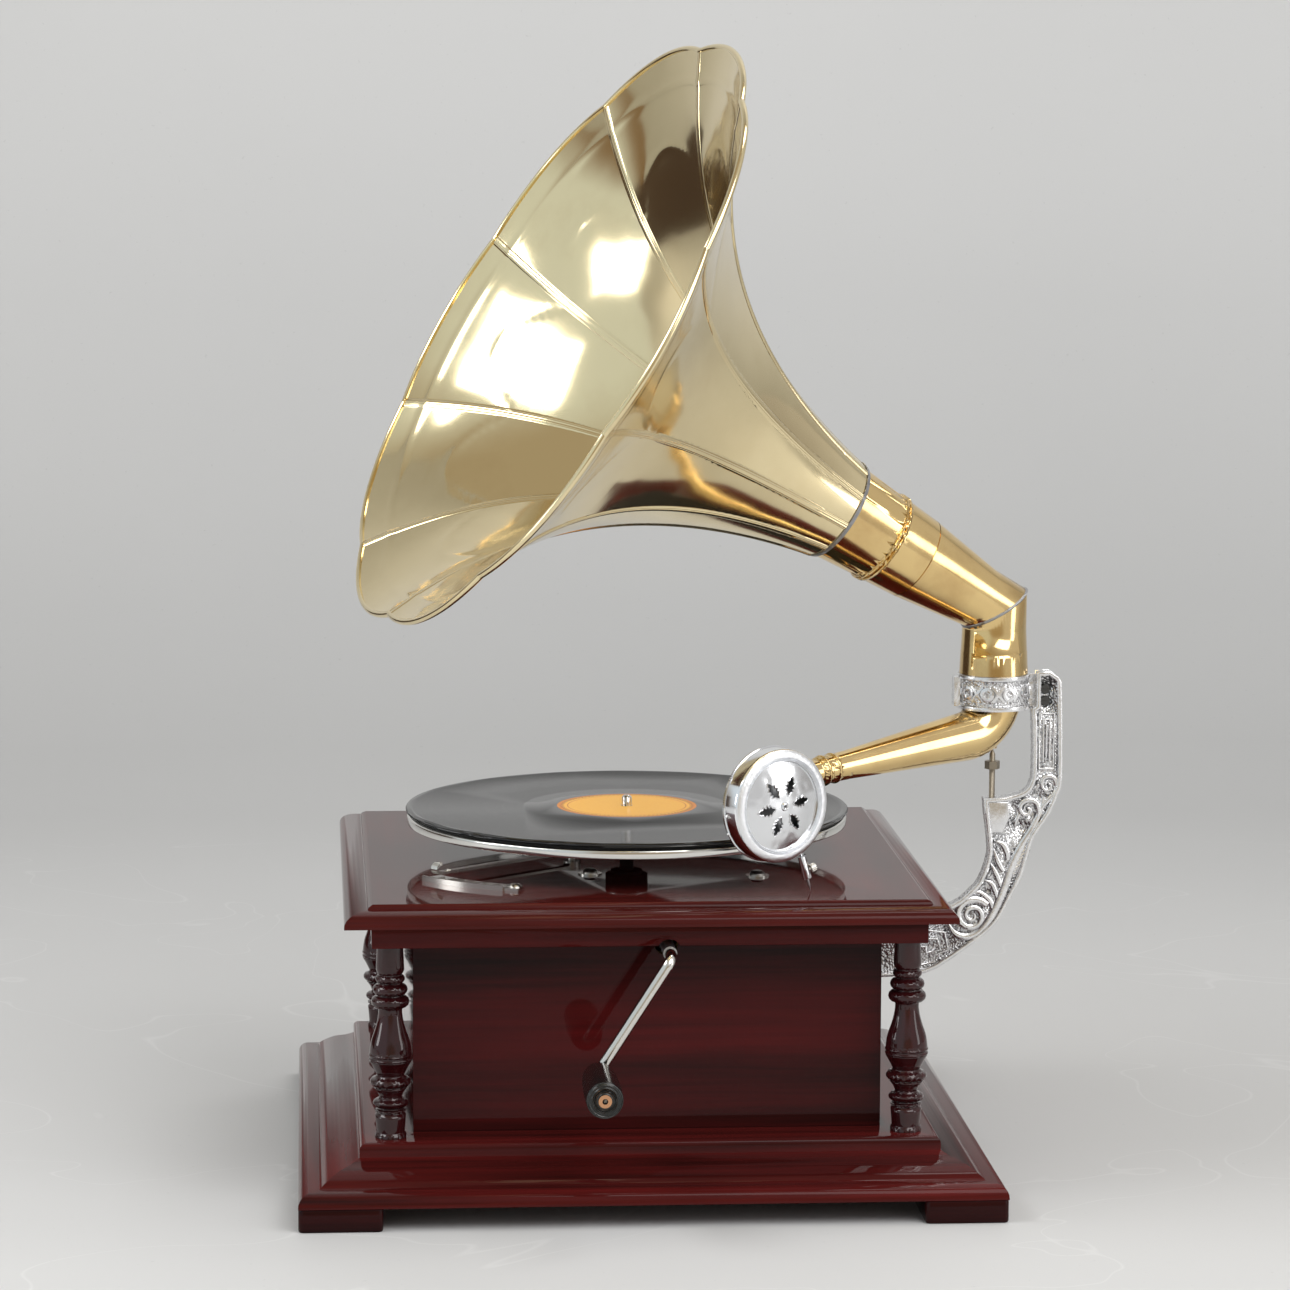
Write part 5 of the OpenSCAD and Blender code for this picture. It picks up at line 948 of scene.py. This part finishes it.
def bell_sheet(inner=30, outer=50, wide=20, roll=14):
    """The bell's mesh: columns of points run round the horn, rows run out, over the rim and back."""
    lines = [(0.0, d, h) for d, h in SEAM] + [(i / (wide + 1), 0.0, 0.0) for i in range(1, wide + 1)]
    lines += [(1.0, -d, h) for d, h in reversed(SEAM[1:])]
    columns = PETALS * len(lines)
    along = inner + outer
    wide_apart = np.linspace(0, CLOSE_FROM, inner, endpoint=False)
    u = np.concatenate([wide_apart, np.linspace(CLOSE_FROM, 1, outer + 1)])
    rows = 2 * (along + 1) + roll + 1
    clear_selection()
    bpy.ops.mesh.primitive_grid_add(x_subdivisions=columns, y_subdivisions=rows - 1, size=2.0)
    o = bpy.context.object
    o.name = "horn_bell_sheet"
    flat = np.empty(len(o.data.vertices) * 3)
    o.data.vertices.foreach_get("co", flat)
    flat = flat.reshape(-1, 3)
    col = np.rint((flat[:, 0] + 1) / 2 * columns).astype(int) % columns
    row = np.rint((flat[:, 1] + 1) / 2 * (rows - 1)).astype(int)
    share, past, fold = np.array(lines)[col % len(lines)].T
    petal = col // len(lines)
    out = row <= along
    rim = (row > along) & (row <= along + roll)
    back = (row > along + roll) & (row < rows - 1)
    at = np.where(out, row, np.where(rim, along, np.where(back, 2 * along + 1 + roll - row, 0)))
    s = u[at]
    pitch = 2 * math.pi / PETALS
    r0 = flare(s)
    angle = share * pitch + past / r0
    bulge = 1 - (2 * angle / pitch - 1) ** 2
    # a petal is flat across, and its lip turns out past an arched crease; a fine ridge runs inside the rim
    crease = CREASE + ARCH * bulge
    lip = np.clip((s - crease) / (1 - crease), 0, 1)
    dent = -DENT * np.exp(-((s - crease) / DENT_WIDE) ** 2) * np.clip(bulge * 3, 0, 1)
    ridge = RIDGE * np.exp(-((s - RIDGE_AT) / RIDGE_WIDE) ** 2)
    hollow = HOLLOW * np.sin(np.radians(180 * np.minimum(1.1 * s, 1)))
    r0 = r0 * (1 + (lip * LIP / MOUTH - hollow) * bulge)
    tilt = slope(s)
    off = np.where(back, -SHEET - fold * 0.5 - ridge, fold + ridge) + dent
    off = np.where(row == rows - 1, fold, off)
    r = r0 + off * np.cos(tilt)
    z = NECK + BELL * s - off * np.sin(tilt)
    b = np.radians(ROLL_FROM - (row - along - 1) * ROLL_OVER / (roll - 1))
    lip_out, lip_up = 0.6 + WIRE * np.sin(b), WIRE * np.cos(b) + SHEET / 2
    r = np.where(rim, r0 + lip_out * np.sin(tilt) - lip_up * np.cos(tilt), r)
    z = np.where(rim, NECK + BELL + lip_out * np.cos(tilt) + lip_up * np.sin(tilt), z)
    turn = petal * pitch + math.radians(SEAM_AT) + angle
    local = np.stack([r * np.cos(turn), r * np.sin(turn), z], axis=1) * MM
    world = local @ np.array(HORN.to_3x3()).T + np.array(HORN.translation)
    o.data.vertices.foreach_set("co", world.ravel())
    bpy.ops.object.mode_set(mode="EDIT")
    bpy.ops.mesh.select_all(action="SELECT")
    bpy.ops.mesh.remove_doubles(threshold=FINE_MERGE)
    bpy.ops.mesh.normals_make_consistent(inside=False)
    bpy.ops.object.mode_set(mode="OBJECT")
    shade_smooth(60)
    return o


bell = bell_sheet()
finish_piece(bell, brass, "horn_brass", "horn", "horn_bell")
print("bell:", len(bell.data.vertices), "points")


# %% [markdown]
# ## The studio
# A pale seamless sweep of paper: a floor that curves up into a wall well behind the gramophone. A soft light
# hangs to the left with a small one below it, a large one stands high at the front right, a tall one stands
# to the right, and one lights the paper behind. A dark screen to the left is there for the brass to mirror.

# %% Make the paper and the screen
PAPER_FROM, PAPER_TO = -1.0, 2.1        # the Y between which the paper's shade changes
# the paper's colour along Y, with painted shade in it
PAPER_SHADE_ALONG = [(0.12, 0.64), (0.24, 0.64), (0.32, 0.57), (0.47, 0.54), (0.66, 0.48), (0.75, 0.45),
               (0.83, 0.47), (0.93, 0.53), (1.0, 0.63)]
FRONT, BEND_AT, BEND, TALL, WIDE = -1.5, 1.1, 1.0, 5.0, 8.0
SCUFFS_END = 1.0                        # the floor is worn in front of this Y


def paper():
    m, tree, shader = new_finish("paper", Roughness=0.55, Specular_IOR_Level=0.2)
    place = axes(tree)
    # painted shade: the sheet is darkest where the floor turns up, and a little darker to the right
    along = ramp(tree, between(tree, place["Y"], PAPER_FROM, PAPER_TO), PAPER_SHADE_ALONG)
    across = put(tree, "ShaderNodeMapRange", {"Value": place["X"], "From Min": -0.3, "From Max": 0.7,
                 "To Min": 1.0, "To Max": 0.93}).outputs["Result"]
    where = object_place(tree)
    cloud = maths(tree, "MULTIPLY_ADD", noise(tree, where, 1.6, 3.0), 0.08, 0.96)
    specks = ramp(tree, noise(tree, where, 260.0, 2.0), [(0.70, 1.0), (0.78, 0.90)])
    wear = maths(tree, "ABSOLUTE", maths(tree, "SUBTRACT", noise(tree, where, 3.5, 2.0, 0.5, 1.2), 0.5))
    scuffs = ramp(tree, wear, [(0.0, 1.08), (0.0022, 1.0)])
    scuffs = mix(tree, maths(tree, "GREATER_THAN", place["Y"], SCUFFS_END), scuffs, (1.0, 1.0, 1.0))
    marks = maths(tree, "MULTIPLY", specks, scuffs)
    shade = maths(tree, "MULTIPLY", maths(tree, "MULTIPLY", cloud, across), marks)
    tree.links.new(mix(tree, 1.0, along, shade, "MULTIPLY"), shader.inputs["Base Color"])
    return m


def stage_piece(name, points, faces, finish):
    mesh = bpy.data.meshes.new(name)
    mesh.from_pydata(points, [], faces)
    for p in mesh.polygons:
        p.use_smooth = True
    mesh.materials.append(finish)
    add_object(name, mesh)


path = [(FRONT, 0.0), (BEND_AT, 0.0)]
path += [(BEND_AT + BEND * math.sin(a), BEND * (1 - math.cos(a))) for a in np.linspace(0.05, math.pi / 2, 24)]
path += [(BEND_AT + BEND, TALL)]
stage_piece("paper_sweep", [(side * WIDE / 2, y, z) for y, z in path for side in (-1, 1)],
            [(2 * i, 2 * i + 1, 2 * i + 3, 2 * i + 2) for i in range(len(path) - 1)], paper())
stage_piece("dark_screen", [(-2.0, 0.45, 0.0), (-1.15, 1.6, 0.0), (-1.15, 1.6, 0.5), (-2.0, 0.45, 0.5)],
            [(0, 1, 2, 3)], new_finish("dark_screen", Base_Color=(0.05, 0.03, 0.02, 1.0), Roughness=0.9)[0])
print("paper and screen stand")


# %% Hang the lights and colour the room
def soft_light(name, place, aim, size, watts):
    """A soft rectangular lamp that looks at the point aim."""
    light = bpy.data.lights.new(name, "AREA")
    light.shape = "RECTANGLE"
    light.size, light.size_y = size
    light.energy = watts
    o = add_object(name, light)
    o.location = place
    o.rotation_euler = (Vector(aim) - Vector(place)).to_track_quat("-Z", "Y").to_euler()


soft_light("key", (-1.525, -0.40, 1.74), (-0.06, 0.05, 0.45), (1.3, 0.65), 15.0)
soft_light("window", (-2.0, -0.36, 0.56), (-0.06, 0.05, 0.45), (0.5, 0.5), 4.0)
soft_light("fill", (1.3, -1.9, 2.3), (0.0, 0.0, 0.2), (2.2, 1.8), 50.0)
soft_light("right", (2.0, -1.0, 0.62), (0.07, -0.14, 0.3), (0.5, 1.15), 5.0)
soft_light("wall", (1.3, 0.8, 3.2), (0.5, 2.2, 1.0), (2.0, 0.8), 24.0)


def room(ceiling, patches):
    """A plain room: the ceiling's colour all round, with broad soft patches of other colours on its walls.

    A patch is (azimuth, height, inner radius, outer radius, colour), in degrees.
    """
    world = bpy.data.worlds.new("room")
    bpy.context.scene.world = world
    world.use_nodes = True
    tree = world.node_tree
    where = put(tree, "ShaderNodeTexCoord").outputs["Generated"]
    colour = put(tree, "ShaderNodeRGB").outputs[0]
    colour.default_value = (*ceiling, 1.0)
    for azimuth, height, inner, outer, shade in patches:
        a, h = math.radians(azimuth), math.radians(height)
        axis = (math.cos(a) * math.cos(h), math.sin(a) * math.cos(h), math.sin(h))
        near = put(tree, "ShaderNodeVectorMath", {0: where, 1: axis},
                   operation="DOT_PRODUCT").outputs["Value"]
        limits = (math.cos(math.radians(r)) for r in (outer, inner))
        colour = mix(tree, between(tree, near, *limits, interpolation_type="SMOOTHSTEP"), colour, shade)
    background = tree.nodes["Background"]
    tree.links.new(colour, background.inputs["Color"])
    background.inputs["Strength"].default_value = 1.0


room((0.40, 0.35, 0.27), [(-35, 5, 50, 85, (0.62, 0.61, 0.60)), (-158, 12, 35, 60, (0.66, 0.72, 0.75)),
                          (146, -2, 10, 26, (0.22, 0.15, 0.09)), (-88, -5, 10, 32, (0.42, 0.35, 0.25)),
                          (15, -5, 10, 30, (0.40, 0.38, 0.36))])
bpy.context.scene.view_settings.view_transform = "Standard"
print("lights:", len(bpy.data.lights))
